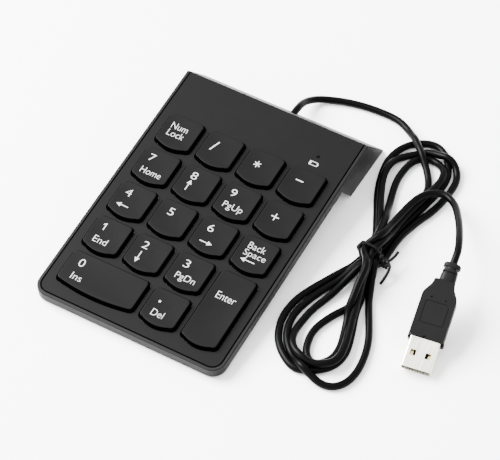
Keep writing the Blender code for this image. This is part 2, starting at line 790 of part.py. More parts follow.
def add_bottom_cover(deck):
    body = prism_mesh("bottom_cover", rounded_case_profile(), CASE_WIDTH / 2)
    cover = add_object("bottom_cover", body, "tray_plastic", deck)
    boolean(cover, "INTERSECT", plan_cutter("case_plan", 0, deck))
    belly = prism_mesh("belly", belly_profile(0), CASE_WIDTH / 2 - BELLY_INSET)
    boolean(cover, "UNION", add_cutter("belly", belly, deck))
    hollow_case(cover, deck)
    add_posts(cover, deck)
    cut_fastener_holes(cover, deck)


def hollow_case(cover, deck):
    walls = (SIDE_WALL, FLOOR_WALL, WEDGE_WALL, WEDGE_WALL, WEDGE_WALL, -0.0030)
    cavity = prism_mesh("cavity", inset(case_profile(), walls), CASE_WIDTH / 2 - SIDE_WALL)
    boolean(cover, "DIFFERENCE", add_cutter("cavity", cavity, deck))
    belly = prism_mesh("belly_cavity", belly_profile(FLOOR_WALL), CASE_WIDTH / 2 - BELLY_INSET - FLOOR_WALL)
    boolean(cover, "DIFFERENCE", add_cutter("belly_cavity", belly, deck))
    rebate = slab_mesh("rebate", [plan_outline(RIM_WIDTH)], -REBATE_DEPTH, ABOVE_CASE)
    boolean(cover, "DIFFERENCE", add_cutter("rebate", rebate, deck))
    half = CASE_WIDTH / 2 - RIM_WIDTH
    notch = [rectangle(-half, REAR_TOP - 0.0050, half, BEHIND_CASE)]
    rear_notch = slab_mesh("rear_notch", notch, -LIP_DEPTH - GAP, ABOVE_CASE)
    boolean(cover, "DIFFERENCE", add_cutter("rear_notch", rear_notch, deck))


def add_posts(cover, deck):
    """Screw wells and board posts that stand on the floor, and pads over the front feet."""
    pads = [circle(place, FRONT_PAD_RADIUS) for place in FRONT_SCREWS]
    pads += [circle(place, FOOT_PAD_RADIUS) for place in FRONT_FEET]
    pad_mesh = slab_mesh("front_pads", pads, PAD_TOP - 0.0009, PAD_TOP)
    boolean(cover, "UNION", add_cutter("front_pads", pad_mesh, deck))
    wells = [circle(place, WELL[0]) for place in REAR_SCREWS]
    well_mesh = slab_mesh("screw_wells", wells, FLOOR_LEVEL, WELL[1])
    boolean(cover, "UNION", add_cutter("screw_wells", well_mesh, deck))
    posts = [circle(place, BOARD_POST[0]) for place in board_screw_places()]
    post_mesh = slab_mesh("board_posts", posts, FLOOR_LEVEL + 0.0002, BOARD_POST[1])
    board_posts = add_cutter("board_posts", post_mesh, deck)
    inside = prism_mesh("wedge_inside", inset(case_profile(), [0.0006] * 6), CASE_WIDTH / 2)
    boolean(board_posts, "INTERSECT", add_cutter("wedge_inside", inside, deck))
    boolean(cover, "UNION", board_posts)
    pilots = [circle(place, BOARD_PILOT_RADIUS, 12) for place in board_screw_places()]
    pilot_mesh = slab_mesh("board_pilots", pilots, BOARD_POST[1] - 0.0043, BOARD_POST[1] + 0.0012)
    boolean(cover, "DIFFERENCE", add_cutter("board_pilots", pilot_mesh, deck))


def board_screw_places():
    return [(side * CLAMP_SCREW_X, CLAMP_Y) for side in (-1, 1)]


def cut_fastener_holes(cover, deck):
    holes = [circle(place, SCREW_HOLE_RADIUS, 12) for place in (*FRONT_SCREWS, *REAR_SCREWS)]
    hole_mesh = slab_mesh("screw_holes", holes, BELOW_CASE, PAD_TOP + 0.0012)
    boolean(cover, "DIFFERENCE", add_cutter("screw_holes", hole_mesh, deck))
    for name, places, (radius, top) in (
        ("front_sinks", FRONT_SCREWS, FRONT_SINK), ("rear_sinks", REAR_SCREWS, REAR_SINK),
    ):
        sinks = slab_mesh(name, [circle(place, radius) for place in places], BELOW_CASE, top)
        boolean(cover, "DIFFERENCE", add_cutter(name, sinks, deck))
    sinks = [circle(place, FOOT_RADIUS + GAP) for place in foot_places()]
    feet = slab_mesh("foot_sinks", sinks, -FOOT_HEIGHT, FOOT_HEIGHT + GAP)
    boolean(cover, "DIFFERENCE", add_cutter("foot_sinks", feet, None))
    outer, depth = GROMMET_RADIUS + GAP, GROMMET_INNER_END
    hole = turned_mesh("cord_hole", [(0, 0.010), (outer, 0.010), (outer, depth), (0, depth)])
    hole_object = add_cutter("cord_hole", hole, deck)
    hole_object.matrix_local = exit_matrix()
    boolean(cover, "DIFFERENCE", hole_object)


def exit_matrix():
    """Places a turned piece at the cord's exit, its z axis towards the rear."""
    place = Matrix.Translation((EXIT_X, rear_face(EXIT_Z), EXIT_Z))
    return place @ Matrix.Rotation(-math.pi / 2, 4, "X")


def foot_places():
    """World x and y of the four feet."""
    front = []
    for x, y in FRONT_FEET:
        front.append((x, y * math.cos(DECK_TILT) - CASE_LENGTH / 2))
    return (*front, *REAR_FEET)


# ---- Small pieces


def add_feet():
    for i, (x, y) in enumerate(foot_places()):
        foot = turned_mesh("foot", [
            (0, FOOT_HEIGHT), (FOOT_RADIUS, FOOT_HEIGHT), (FOOT_RADIUS, 0.0002),
            (FOOT_RADIUS - 0.0002, 0), (0, 0),
        ])
        obj = add_object(f"foot_{i + 1}", foot, "rubber")
        obj.location = (x, y, 0)


def screw_mesh(head_radius, head_height, shank_radius, shank_length):
    """A screw pointing up, with its head's top face on the origin's plane, facing down."""
    return turned_mesh("screw", [
        (0, head_height + shank_length), (shank_radius * 0.6, head_height + shank_length),
        (shank_radius, head_height + shank_length - 0.0005), (shank_radius, head_height),
        (head_radius, head_height), (head_radius, head_height * 0.3),
        (head_radius * 0.8, 0), (0, 0),
    ], steps=10)


def add_screws(deck):
    lengths = (FRONT_SCREW_LENGTH, FRONT_SCREW_LENGTH, REAR_SCREW_LENGTH, REAR_SCREW_LENGTH)
    seats = (FRONT_SINK[1], FRONT_SINK[1], REAR_SINK[1], REAR_SINK[1])
    for i, place in enumerate((*FRONT_SCREWS, *REAR_SCREWS)):
        mesh = screw_mesh(0.0019, SCREW_HEAD_HEIGHT, 0.0008, lengths[i])
        screw = add_object(f"case_screw_{i + 1}", mesh, "steel", deck)
        screw.location = (*place, seats[i] - SCREW_HEAD_HEIGHT - GAP)
    for i, place in enumerate(board_screw_places()):
        mesh = screw_mesh(0.0017, 0.0007, 0.0007, BOARD_SCREW_LENGTH)
        screw = add_object(f"board_screw_{i + 1}", mesh, "steel", deck)
        screw.rotation_euler = (math.pi, 0, 0)
        screw.location = (*place, CLAMP_TOP + 0.0010)


def add_electronics(deck):
    """The board with its chip and lamp, the light pipe, the film clamp and the lead's socket."""
    screw_holes = [circle(place, BOARD_PILOT_RADIUS, 12) for place in board_screw_places()]
    outline = rectangle(-BOARD_HALF_WIDTH, BOARD_FRONT, BOARD_HALF_WIDTH, BOARD_REAR, 0.0006)
    board_mesh = slab_mesh("control_board", [outline, *screw_holes], BOARD_BOTTOM, BOARD_TOP)
    board = add_object("control_board", board_mesh, "board", deck)
    tab = [rectangle(BOARD_HALF_WIDTH - 0.0005, 0.1050, LIGHT_X + 0.0022, 0.1115)]
    tab_mesh = slab_mesh("board_tab", tab, BOARD_BOTTOM, BOARD_TOP)
    boolean(board, "UNION", add_cutter("board_tab", tab_mesh, deck))
    chip = [rectangle(-0.0035, 0.1095, 0.0035, 0.1155, 0.0003)]
    chip_mesh = slab_mesh("controller_chip", chip, BOARD_TOP + GAP, BOARD_TOP + 0.0012)
    add_object("controller_chip", chip_mesh, "chip", deck)
    add_status_light(deck)
    bar = rectangle(-0.0190, CLAMP_Y - 0.0019, 0.0190, CLAMP_Y + 0.0019, 0.0006)
    clamp_mesh = slab_mesh("membrane_clamp", [bar, *screw_holes], CLAMP_TOP - 0.0014, CLAMP_TOP)
    add_object("membrane_clamp", clamp_mesh, "steel", deck)
    socket = [rectangle(EXIT_X - 0.0030, 0.1096, EXIT_X + 0.0030, 0.1136, 0.0003)]
    socket_mesh = slab_mesh("cable_socket", socket, BOARD_BOTTOM - 0.0045, BOARD_BOTTOM - GAP)
    add_object("cable_socket", socket_mesh, "tongue_plastic", deck)


def add_status_light(deck):
    lamp = square((LIGHT_X, LIGHT_Y), 0.0018)
    lamp_mesh = slab_mesh("status_light", [lamp], BOARD_TOP + GAP, BOARD_TOP + 0.0011)
    add_object("status_light", lamp_mesh, "light", deck)
    stem = LIGHT_HOLE_RADIUS - 0.00025
    shoulder = -COVER_THICKNESS - GAP
    foot = BOARD_TOP + 0.0014
    pipe = turned_mesh("light_pipe", [
        (0, -0.0002), (stem, -0.0002), (stem, shoulder), (0.0010, shoulder), (0.0010, foot), (0, foot),
    ], steps=12)
    add_object("light_pipe", pipe, "light", deck).location = (LIGHT_X, LIGHT_Y, 0)


def add_grommet_and_inner_cord(deck):
    bore, end = CORD_RADIUS + GAP, GROMMET_INNER_END
    bush = turned_mesh("cable_grommet", [
        (bore, 0.0060), (GROMMET_RADIUS, 0.0060), (GROMMET_RADIUS, GROMMET_FLANGE),
        (GROMMET_FLANGE_RADIUS, GROMMET_FLANGE), (GROMMET_FLANGE_RADIUS, end), (bore, end), (bore, 0.0060),
    ])
    grommet = add_object("cable_grommet", bush, "rubber", deck)
    grommet.matrix_local = exit_matrix()
    envelope = add_cutter("case_envelope", prism_mesh("case_envelope", case_profile(), CASE_WIDTH / 2), deck)
    boolean(grommet, "INTERSECT", envelope)
    route = (
        (EXIT_X, 0.1145, -0.0084),
        (EXIT_X, 0.1168, -0.0089),
        (EXIT_X, 0.1194, -0.0101),
        (EXIT_X, 0.1215, EXIT_Z),
        (EXIT_X, rear_face(EXIT_Z) - 0.0016, EXIT_Z),
    )
    curve = tube_curve("cord_inner", smooth_route(route, 0.0026), CORD_RADIUS)
    add_object("cord_inner", curve, "cord_sheath", deck)


# ---- Lead and plug


def add_lead():
    lead = tube_curve("cord_lead", smooth_route(LEAD_ROUTE, CORD_STEP / 2), CORD_RADIUS)
    add_object("cord_lead", lead, "cord_sheath")
    tail = tube_curve("cord_tail", smooth_route(TAIL_ROUTE, CORD_STEP / 2), CORD_RADIUS)
    add_object("cord_tail", tail, "cord_sheath")
    flat = smooth_route([(x, y, 0) for x, y in HANK_OUTLINE], 0.0060, True)
    outline = [(point.x, point.y) for point in flat]
    hank = add_object("cord_hank", slab_mesh("cord_hank", [outline], HANK_BOTTOM, HANK_TOP), "cord_sheath")
    half = TIE_RADIUS * 2 + GAP
    slot = rectangle(WAIST[0] - 0.02, WAIST[1] - half, WAIST[0] + 0.02, WAIST[1] + half)
    passage = slab_mesh("tie_passage", [slot], -0.001, 4 * TIE_RADIUS)
    boolean(hank, "DIFFERENCE", add_cutter("tie_passage", passage, None))
    add_tie()


def add_tie():
    x, y = WAIST
    half = WAIST_HALF_WIDTH + GAP + TIE_RADIUS
    top = HANK_TOP + GAP + TIE_RADIUS
    loop = rectangle(x - half, TIE_RADIUS, x + half, top, 0.0012)
    path = [(px, y, pz) for px, pz in loop]
    tie = tube_curve("twist_tie", path, TIE_RADIUS, closed=True, resolution=2)
    add_object("twist_tie", tie, "tie_plastic")


def add_plug():
    frame = bpy.data.objects.new("plug_frame", None)
    parts.objects.link(frame)
    frame.location = PLUG_AT
    frame.rotation_mode = "YXZ"
    frame.rotation_euler = (PLUG_TILT, PLUG_ROLL, PLUG_TURN)
    add_grip(frame)
    add_shell(frame)
    neck = turned_mesh("plug_strain_relief", [
        (0, 0), (NECK_RADIUS, 0), (NECK_RADIUS, -0.0030), (NECK_GROOVE, -0.0032), (NECK_GROOVE, -0.0037),
        (NECK_RADIUS, -0.0039), (NECK_RADIUS, -0.0049), (NECK_GROOVE, -0.0052), (NECK_GROOVE, -0.0057),
        (NECK_RADIUS, -0.0060), (NECK_RADIUS, -NECK_LENGTH + 0.0005),
        (NECK_RADIUS - 0.0004, -NECK_LENGTH), (0, -NECK_LENGTH),
    ])
    relief = add_object("plug_strain_relief", neck, "plug_plastic", frame)
    relief.rotation_euler = (math.pi / 2, 0, NECK_TURN)
    relief.location = (0.0006, GRIP_LENGTH + GAP, 0)


def add_grip(frame):
    half, shoulder, neck = GRIP_HALF_WIDTH, GRIP_SHOULDER, GRIP_NECK
    bend = GRIP_LENGTH - 0.0022
    outline = rounded_outline([
        (-half, 0, 0.0008), (half, 0, 0.0008), (half, shoulder, 0.0015), (neck, bend, 0.0010),
        (neck, GRIP_LENGTH, 0.0008), (-neck, GRIP_LENGTH, 0.0008), (-neck, bend, 0.0010),
        (-half, shoulder, 0.0015),
    ])
    grip = slab_mesh("plug_body", [outline], -PLUG_HALF_HEIGHT, PLUG_HALF_HEIGHT)
    add_object("plug_body", grip, "plug_plastic", frame)


def add_shell(frame):
    half_width, half_height = SHELL_WIDTH / 2, SHELL_HEIGHT / 2
    outside = rectangle(-half_width, -half_height, half_width, half_height, 0.0006)
    inside = rectangle(
        -half_width + SHELL_WALL, -half_height + SHELL_WALL,
        half_width - SHELL_WALL, half_height - SHELL_WALL, 0.0003,
    )
    along = Matrix.Rotation(math.pi / 2, 4, "X")
    shell_mesh = slab_mesh("plug_shell", [outside, inside], GAP, GAP + SHELL_LENGTH)
    shell_mesh.transform(along)
    shell = add_object("plug_shell", shell_mesh, "shell_metal", frame)
    half_x, half_y = WINDOW_HALF
    low, high = WINDOW_Y - half_y, WINDOW_Y + half_y
    windows = [rectangle(x - half_x, low, x + half_x, high) for x in (-WINDOW_X, WINDOW_X)]
    window_mesh = slab_mesh("shell_windows", windows, 0, 0.0040)
    boolean(shell, "DIFFERENCE", add_cutter("shell_windows", window_mesh, frame))
    tongue_outline = [rectangle(-0.0054, -TONGUE_LENGTH, 0.0054, -GAP)]
    tongue = slab_mesh("plug_tongue", tongue_outline, TONGUE_TOP - 0.0017, TONGUE_TOP)
    add_object("plug_tongue", tongue, "tongue_plastic", frame)
    for i, x in enumerate((-0.0035, -0.0012, 0.0012, 0.0035)):
        strip = [rectangle(x - 0.0005, 0.0006 - TONGUE_LENGTH, x + 0.0005, -0.0020)]
        contact = slab_mesh("contact", strip, TONGUE_TOP + 0.0002, TONGUE_TOP + 0.0005)
        add_object(f"plug_contact_{i + 1}", contact, "gold", frame)


def shade_round_pieces():
    for obj in parts.objects:
        if obj.type == "MESH":
            obj.data.shade_smooth()
            obj.data.set_sharp_from_angle(angle=math.radians(35))


def main():
    clear_scene()
    make_materials()
    deck = add_deck()
    add_bottom_cover(deck)
    add_top_cover(deck)
    add_keys(deck)
    add_carrier(deck)
    add_dome_sheet(deck)
    add_switch_stack(deck)
    add_electronics(deck)
    add_screws(deck)
    add_feet()
    add_grommet_and_inner_cord(deck)
    add_lead()
    add_plug()
    shade_round_pieces()


main()
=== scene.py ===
"""Looks of the slim numeric keypad and its tied USB lead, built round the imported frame.

Metres, +Z up, the keypad's footprint centred on the origin. The case and the keys are
made in the deck frame: x across, y to the rear from the front edge, z up from the top
face. The plug has its own frame: the shell's root at the origin, y towards the lead.
"""

import json
import math

import bmesh
import bpy
import numpy as np
from mathutils import Matrix, Vector


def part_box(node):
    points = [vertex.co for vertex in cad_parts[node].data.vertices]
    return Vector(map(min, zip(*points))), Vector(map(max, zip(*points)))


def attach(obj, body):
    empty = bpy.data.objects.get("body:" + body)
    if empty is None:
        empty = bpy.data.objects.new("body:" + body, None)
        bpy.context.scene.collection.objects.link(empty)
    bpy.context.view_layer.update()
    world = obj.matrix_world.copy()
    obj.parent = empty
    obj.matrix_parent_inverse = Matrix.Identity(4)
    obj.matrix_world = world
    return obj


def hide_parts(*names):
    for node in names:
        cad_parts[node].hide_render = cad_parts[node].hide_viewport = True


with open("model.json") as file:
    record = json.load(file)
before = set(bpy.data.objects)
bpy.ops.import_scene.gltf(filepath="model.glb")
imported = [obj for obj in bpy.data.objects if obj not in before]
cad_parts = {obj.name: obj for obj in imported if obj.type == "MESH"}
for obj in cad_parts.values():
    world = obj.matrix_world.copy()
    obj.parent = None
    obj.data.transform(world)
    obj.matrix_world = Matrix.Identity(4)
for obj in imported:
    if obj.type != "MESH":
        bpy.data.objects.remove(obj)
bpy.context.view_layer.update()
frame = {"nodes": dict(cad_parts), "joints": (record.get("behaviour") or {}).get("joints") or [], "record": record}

# ---- Driving dimensions, in metres

MM = 0.001
press_axis = Vector(next(j["axis"] for j in frame["joints"] if j["type"] == "slide"))
DECK_TILT = math.atan2(press_axis.y, -press_axis.z)
case_low, case_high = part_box("bottom_cover")
CASE_WIDTH = case_high.x - case_low.x
CASE_LENGTH = 0.1368
DECK_FRONT_HEIGHT = 0.00557
EDGE_DEPTH = 0.0052  # height of the rim's side face
BELLY_DEPTH = 0.0074
BELLY_INSET = 0.0040
TABLE_CLEARANCE = 0.0004
FRONT_CORNER = 0.0060
REAR_TOP = 0.1224
WEDGE_FRONT = 0.0395
WEDGE_ROOT = 0.1002
BEHIND_CASE = 0.16
RIM_WIDTH = 0.0013
SEAM_WIDTH = 0.00065
COVER_THICKNESS = 0.0013
LIP_DEPTH = 0.0040
LIP_THICKNESS = 0.0021
GAP = 0.0003
CLEAR_ABOVE = 0.003  # where a cut into the case ends, above its top face

PITCH = 0.0190
FRONT_ROW = 0.0161
KEY_WIDTH = 0.01523
KEY_DEPTH = 0.01445
KEY_CORNER = 0.0015
KEY_BOW = 0.0015
KEY_TOP = 0.0018
KEY_UNDERSIDE = 0.0008
KEY_DISH = 0.00028
SKIRT_BOTTOM = -0.0004
SKIRT_FLARE = 0.00075
SKIRT_WALL = 0.0008
STEM_HALF = 0.0020
STEM_BOTTOM = -0.0020
LIGHT_X, LIGHT_Y = 0.0273, 0.1082
LIGHT_HOLE_RADIUS = 0.00075

CORD_RADIUS = 0.00155
EXIT_X = 0.0036
EXIT_Z = -0.0104
WAIST = Vector((0.0666, 0.0138, 0))
TIE_RADIUS = 0.0006
TUBE_RESOLUTION = 4

PLUG_AT = Vector((0.10469, -0.01504, 0.00660))
PLUG_TILT = math.radians(18.0)
PLUG_ROLL = math.radians(3.5)
PLUG_TURN = math.radians(9.4)

DECK = Matrix.Translation((0, -CASE_LENGTH / 2, DECK_FRONT_HEIGHT)) @ Matrix.Rotation(DECK_TILT, 4, "X")
PLUG = (
    Matrix.Translation(PLUG_AT) @ Matrix.Rotation(PLUG_TURN, 4, "Z")
    @ Matrix.Rotation(PLUG_TILT, 4, "X") @ Matrix.Rotation(PLUG_ROLL, 4, "Y")
)
WORLD = Matrix.Identity(4)


# ---- Camera


def add_camera():
    camera = bpy.data.objects.new("camera", bpy.data.cameras.new("camera"))
    bpy.context.scene.collection.objects.link(camera)
    forward = Vector((-0.31615, 0.54633, -0.77561)).normalized()
    up = Vector((-0.38181, 0.67514, 0.63119)).normalized()
    right = forward.cross(up).normalized()
    up = right.cross(forward)
    turn = Matrix((right, up, -forward)).transposed().to_4x4()
    camera.matrix_world = Matrix.Translation((0.32624, -0.53312, 0.76251)) @ turn
    camera.data.sensor_width = 36.0
    camera.data.lens = 174.6
    camera.data.clip_end = 20.0
    bpy.context.scene.camera = camera


add_camera()


# ---- Materials. Each one is worked out from object coordinates, with no image.


class Nodes:
    """A material with a Principled shader, and short calls that add and join its nodes."""

    def __init__(self, name, colour, roughness, metallic=0.0, **inputs):
        self.material = bpy.data.materials.new(name)
        self.material.use_nodes = True
        self.tree = self.material.node_tree
        self.shader = self.tree.nodes["Principled BSDF"]
        self.shader.inputs["Base Color"].default_value = (*colour, 1)
        self.shader.inputs["Roughness"].default_value = roughness
        self.shader.inputs["Metallic"].default_value = metallic
        for socket, value in inputs.items():
            self.shader.inputs[socket.replace("_", " ")].default_value = value
        self.material.diffuse_color = (*colour, 1)
        self.coordinates = self.add("ShaderNodeTexCoord").outputs["Object"]

    def add(self, kind, **settings):
        node = self.tree.nodes.new(kind)
        for name, value in settings.items():
            setattr(node, name, value)
        return node

    def join(self, source, target):
        self.tree.links.new(source, target)

    def noise(self, size, detail, stretch=(1, 1, 1)):
        """Noise whose features are about this many metres across."""
        mapping = self.add("ShaderNodeMapping")
        mapping.inputs["Scale"].default_value = [1 / (size * s) for s in stretch]
        self.join(self.coordinates, mapping.inputs["Vector"])
        texture = self.add("ShaderNodeTexNoise")
        texture.inputs["Scale"].default_value = 1.0
        texture.inputs["Detail"].default_value = detail
        self.join(mapping.outputs["Vector"], texture.inputs["Vector"])
        return texture.outputs["Fac"]

    def spread(self, value, low, high, start=0.3, end=0.7):
        """Maps noise to a range."""
        node = self.add("ShaderNodeMapRange")
        for name, number in (("From Min", start), ("From Max", end), ("To Min", low), ("To Max", high)):
            node.inputs[name].default_value = number
        self.join(value, node.inputs["Value"])
        return node.outputs["Result"]

    def colours(self, value, first, second):
        """Blends two colours by a value from 0 to 1."""
        node = self.add("ShaderNodeMix", data_type="RGBA")
        self.join(value, node.inputs["Factor"])
        node.inputs["A"].default_value = (*first, 1)
        node.inputs["B"].default_value = (*second, 1)
        self.join(node.outputs["Result"], self.shader.inputs["Base Color"])

    def rough(self, value):
        self.join(value, self.shader.inputs["Roughness"])

    def bump(self, value, height):
        node = self.add("ShaderNodeBump")
        node.inputs["Distance"].default_value = height
        self.join(value, node.inputs["Height"])
        last = self.shader.inputs["Normal"]
        if last.is_linked:
            self.join(last.links[0].from_socket, node.inputs["Normal"])
        self.join(node.outputs["Normal"], last)


def grey(value):
    return (value, value, value)


def moulded(name, shade, roughness, grain=0.00035, depth=0.000012, **inputs):
    """Moulded plastic: spark-eroded grain, a faint cloudiness and uneven gloss."""
    made = Nodes(name, grey(shade), roughness, **inputs)
    cloud = made.noise(0.012, 2.0)
    made.colours(made.spread(cloud, 0, 1), grey(shade * 0.97), grey(shade * 1.03))
    fine = made.noise(grain, 2.0)
    made.rough(made.spread(made.noise(0.006, 3.0), roughness - 0.03, roughness + 0.03))
    made.bump(fine, depth)
    return made.material


def metal(name, colour, roughness, brushed=(1, 1, 1)):
    """Plated metal with a fine directional finish and slight staining."""
    made = Nodes(name, colour, roughness, 1.0)
    stain = made.spread(made.noise(0.004, 4.0), 0, 1)
    made.colours(stain, [c * 0.9 for c in colour], colour)
    made.rough(made.spread(made.noise(0.0004, 3.0, brushed), roughness * 0.7, roughness * 1.4))
    made.bump(made.noise(0.0003, 2.0, brushed), 0.000004)
    return made.material


def board_material():
    """Green solder mask with fine copper runs under it."""
    made = Nodes("board", (0.03, 0.2, 0.08), 0.4)
    runs = made.add("ShaderNodeTexBrick")
    runs.inputs["Scale"].default_value = 400.0
    runs.inputs["Color1"].default_value = (0.02, 0.15, 0.06, 1)
    runs.inputs["Color2"].default_value = (0.03, 0.20, 0.08, 1)
    runs.inputs["Mortar"].default_value = (0.06, 0.28, 0.11, 1)
    made.join(made.coordinates, runs.inputs["Vector"])
    made.join(runs.outputs["Color"], made.shader.inputs["Base Color"])
    made.bump(runs.outputs["Fac"], 0.00002)
    return made.material


def film_material():
    """Near-black film with printed runs: its dark tone is painted shade, so that nothing pale shows in the gaps
    around the keys.
    """
    made = Nodes("film", grey(0.010), 0.5)
    wave = made.add("ShaderNodeTexWave")
    wave.inputs["Scale"].default_value = 60.0
    made.join(made.coordinates, wave.inputs["Vector"])
    made.colours(made.spread(wave.outputs["Fac"], 0, 1, 0.9, 0.95), grey(0.010), grey(0.004))
    return made.material


def ink_material():
    """White printed ink with slightly uneven cover."""
    made = Nodes("legend_ink", grey(0.24), 0.6)
    made.colours(made.spread(made.noise(0.0006, 2.0), 0, 1), grey(0.22), grey(0.26))
    made.bump(made.noise(0.00025, 2.0), 0.000004)
    return made.material


def make_materials():
    return {
        "cover_plastic": moulded("cover_plastic", 0.0022, 0.50, IOR=1.112),
        "tray_plastic": moulded("tray_plastic", 0.0040, 0.48, IOR=1.15),
        "key_plastic": moulded("key_plastic", 0.0023, 0.48, IOR=1.10),
        # The key skirts get a near-black, barely reflecting copy of the key plastic: painted shade for the skirt
        # sides turned from the light and their shadow band.
        "key_skirt_painted_shade": moulded("key_skirt_painted_shade", 0.0002, 0.40, 0.0008, 0.000002, IOR=1.03),
        "carrier_plastic": moulded("carrier_plastic", 0.008, 0.60),
        "silicone": moulded("silicone", 0.75, 0.55, 0.002, 0.00001),
        "film": film_material(),
        "steel": metal("steel", (0.60, 0.60, 0.62), 0.35),
        "board": board_material(),
        "chip": moulded("chip", 0.012, 0.5, 0.0002),
        # The light pipe is made near-black: painted shade for the dark hole round the status light.
        "light": moulded("light", 0.0010, 0.30, 0.001, 0.000001, IOR=1.10),
        "rubber": moulded("rubber", 0.016, 0.8, 0.0003, 0.00002),
        "cord_sheath": moulded("cord_sheath", 0.0006, 0.32, 0.0012, 0.00001, IOR=1.10),
        "tie_plastic": moulded("tie_plastic", 0.0016, 0.40, 0.0008, 0.00001, IOR=1.13),
        "plug_plastic": moulded("plug_plastic", 0.0027, 0.46, 0.0003, 0.000015, IOR=1.138),
        "shell_metal": metal("shell_metal", (0.90, 0.87, 0.77), 0.30, (1, 12, 1)),
        "tongue_plastic": moulded("tongue_plastic", 0.0040, 0.45, 0.0005, 0.000005, IOR=1.2),
        "gold": metal("gold", (0.83, 0.62, 0.24), 0.25),
        "ink": ink_material(),
    }


materials = make_materials()


def paint_cad_nodes():
    """Every node that stays gets the procedural material of its slot, and soft edges."""
    for entry in frame["record"]["subparts"]:
        node = frame["nodes"][entry["node"]]
        node.data.materials.clear()
        node.data.materials.append(materials[entry["material_slot"]])
        merge = node.modifiers.new("weld", "WELD")
        merge.merge_threshold = 0.000001
        bevel = node.modifiers.new("soft edges", "BEVEL")
        bevel.width = 0.00005
        bevel.segments = 2
        bevel.limit_method = "ANGLE"
        bevel.angle_limit = math.radians(40)


paint_cad_nodes()


# ---- Pieces


def add_piece(name, mesh, slots, body, place, stands_for=()):
    """Adds a finished mesh, which rides on a body and may stand for CAD nodes."""
    piece = bpy.data.objects.new(name, mesh)
    bpy.context.scene.collection.objects.link(piece)
    for slot in slots:
        mesh.materials.append(materials[slot])
    piece.matrix_world = place
    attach(piece, body)
    if stands_for:
        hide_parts(*stands_for)
    return piece


def finish_mesh(mesh, angle=35):
    """Smooth shading that keeps flat faces flat and sharp edges sharp."""
    mesh.shade_smooth()
    mesh.set_sharp_from_angle(angle=math.radians(angle))
    return evaluated_mesh(mesh, [("WEIGHTED_NORMAL", {"keep_sharp": True})])


def evaluated_mesh(data, modifiers=()):
    """The mesh that an object with this data and these modifiers evaluates to."""
    holder = bpy.data.objects.new("holder", data)
    bpy.context.scene.collection.objects.link(holder)
    for kind, settings in modifiers:
        modifier = holder.modifiers.new(kind.lower(), kind)
        for key, value in settings.items():
            setattr(modifier, key, value)
    bpy.context.view_layer.update()
    evaluated = holder.evaluated_get(bpy.context.evaluated_depsgraph_get())
    mesh = bpy.data.meshes.new_from_object(evaluated)
    bpy.data.objects.remove(holder)
    return mesh


def weld(mesh, distance=1e-7):
    bm = bmesh.new()
    bm.from_mesh(mesh)
    bmesh.ops.remove_doubles(bm, verts=bm.verts, dist=distance)
    bmesh.ops.recalc_face_normals(bm, faces=bm.faces)
    bm.to_mesh(mesh)
    bm.free()
    return mesh


def combine(mesh, operation, *others):
    """Booleans a mesh with others, one after another."""
    for other in others:
        cutter = bpy.data.objects.new("cutter", other)
        bpy.context.scene.collection.objects.link(cutter)
        settings = {"operation": operation, "solver": "EXACT", "object": cutter}
        mesh = evaluated_mesh(mesh, [("BOOLEAN", settings)])
        bpy.data.objects.remove(cutter)
    return mesh


def soften(mesh, width, segments, angle=40):
    """Rounds a mesh's sharp edges."""
    return evaluated_mesh(weld(mesh, 1e-6), [("BEVEL", {
        "width": width, "segments": segments, "limit_method": "ANGLE",
        "angle_limit": math.radians(angle), "use_clamp_overlap": True,
    })])


# ---- Outlines and solids


def arc(centre, radius, start, end, steps):
    points = []
    for i in range(steps + 1):
        angle = start + (end - start) * i / steps
        points.append((centre[0] + radius * math.cos(angle), centre[1] + radius * math.sin(angle)))
    return points


def circle(centre, radius, steps):
    return arc(centre, radius, 0, 2 * math.pi, steps)[:-1]


def circles(centres, radius, steps):
    return [circle(centre, radius, steps) for centre in centres]


def rounded_corner(before, corner, after, radius, steps):
    corner = Vector(corner)
    towards_before = (Vector(before) - corner).normalized()
    towards_after = (Vector(after) - corner).normalized()
    half_angle = towards_before.angle(towards_after) / 2
    middle = (towards_before + towards_after).normalized()
    centre = corner + middle * (radius / math.sin(half_angle))
    first = corner + towards_before * (radius / math.tan(half_angle)) - centre
    last = corner + towards_after * (radius / math.tan(half_angle)) - centre
    start = math.atan2(first.y, first.x)
    turn = (math.atan2(last.y, last.x) - start + math.pi) % (2 * math.pi) - math.pi
    return arc(centre, radius, start, start + turn, steps)


def rounded_outline(corners, steps):
    """An outline from (x, y, corner radius) triples."""
    points = []
    for i, (x, y, radius) in enumerate(corners):
        after = corners[(i + 1) % len(corners)][:2]
        if radius:
            points.extend(rounded_corner(corners[i - 1][:2], (x, y), after, radius, steps))
        else:
            points.append((x, y))
    return points


def rectangle(x0, y0, x1, y1, radius=0.0, steps=8):
    corners = [(x0, y0, radius), (x1, y0, radius), (x1, y1, radius), (x0, y1, radius)]
    return rounded_outline(corners, steps)


def inset(corners, distances):
    """Moves each side of a polygon inwards by its own distance. Side i starts at corner i."""
    count = len(corners)
    area = sum(
        corners[i][0] * corners[(i + 1) % count][1] - corners[(i + 1) % count][0] * corners[i][1]
        for i in range(count)
    )
    lines = []
    for i in range(count):
        start, end = Vector(corners[i]), Vector(corners[(i + 1) % count])
        along = (end - start).normalized()
        inwards = Vector((-along.y, along.x)) * (1 if area > 0 else -1)
        lines.append((start + inwards * distances[i], along))
    moved = []
    for i in range(count):
        (p, d), (q, e) = lines[i - 1], lines[i]
        t = (q - p).cross(e) / d.cross(e)
        moved.append(tuple(p + d * t))
    return moved


def mesh_from(bm, name="piece"):
    bmesh.ops.recalc_face_normals(bm, faces=bm.faces)
    mesh = bpy.data.meshes.new(name)
    bm.to_mesh(mesh)
    bm.free()
    return mesh


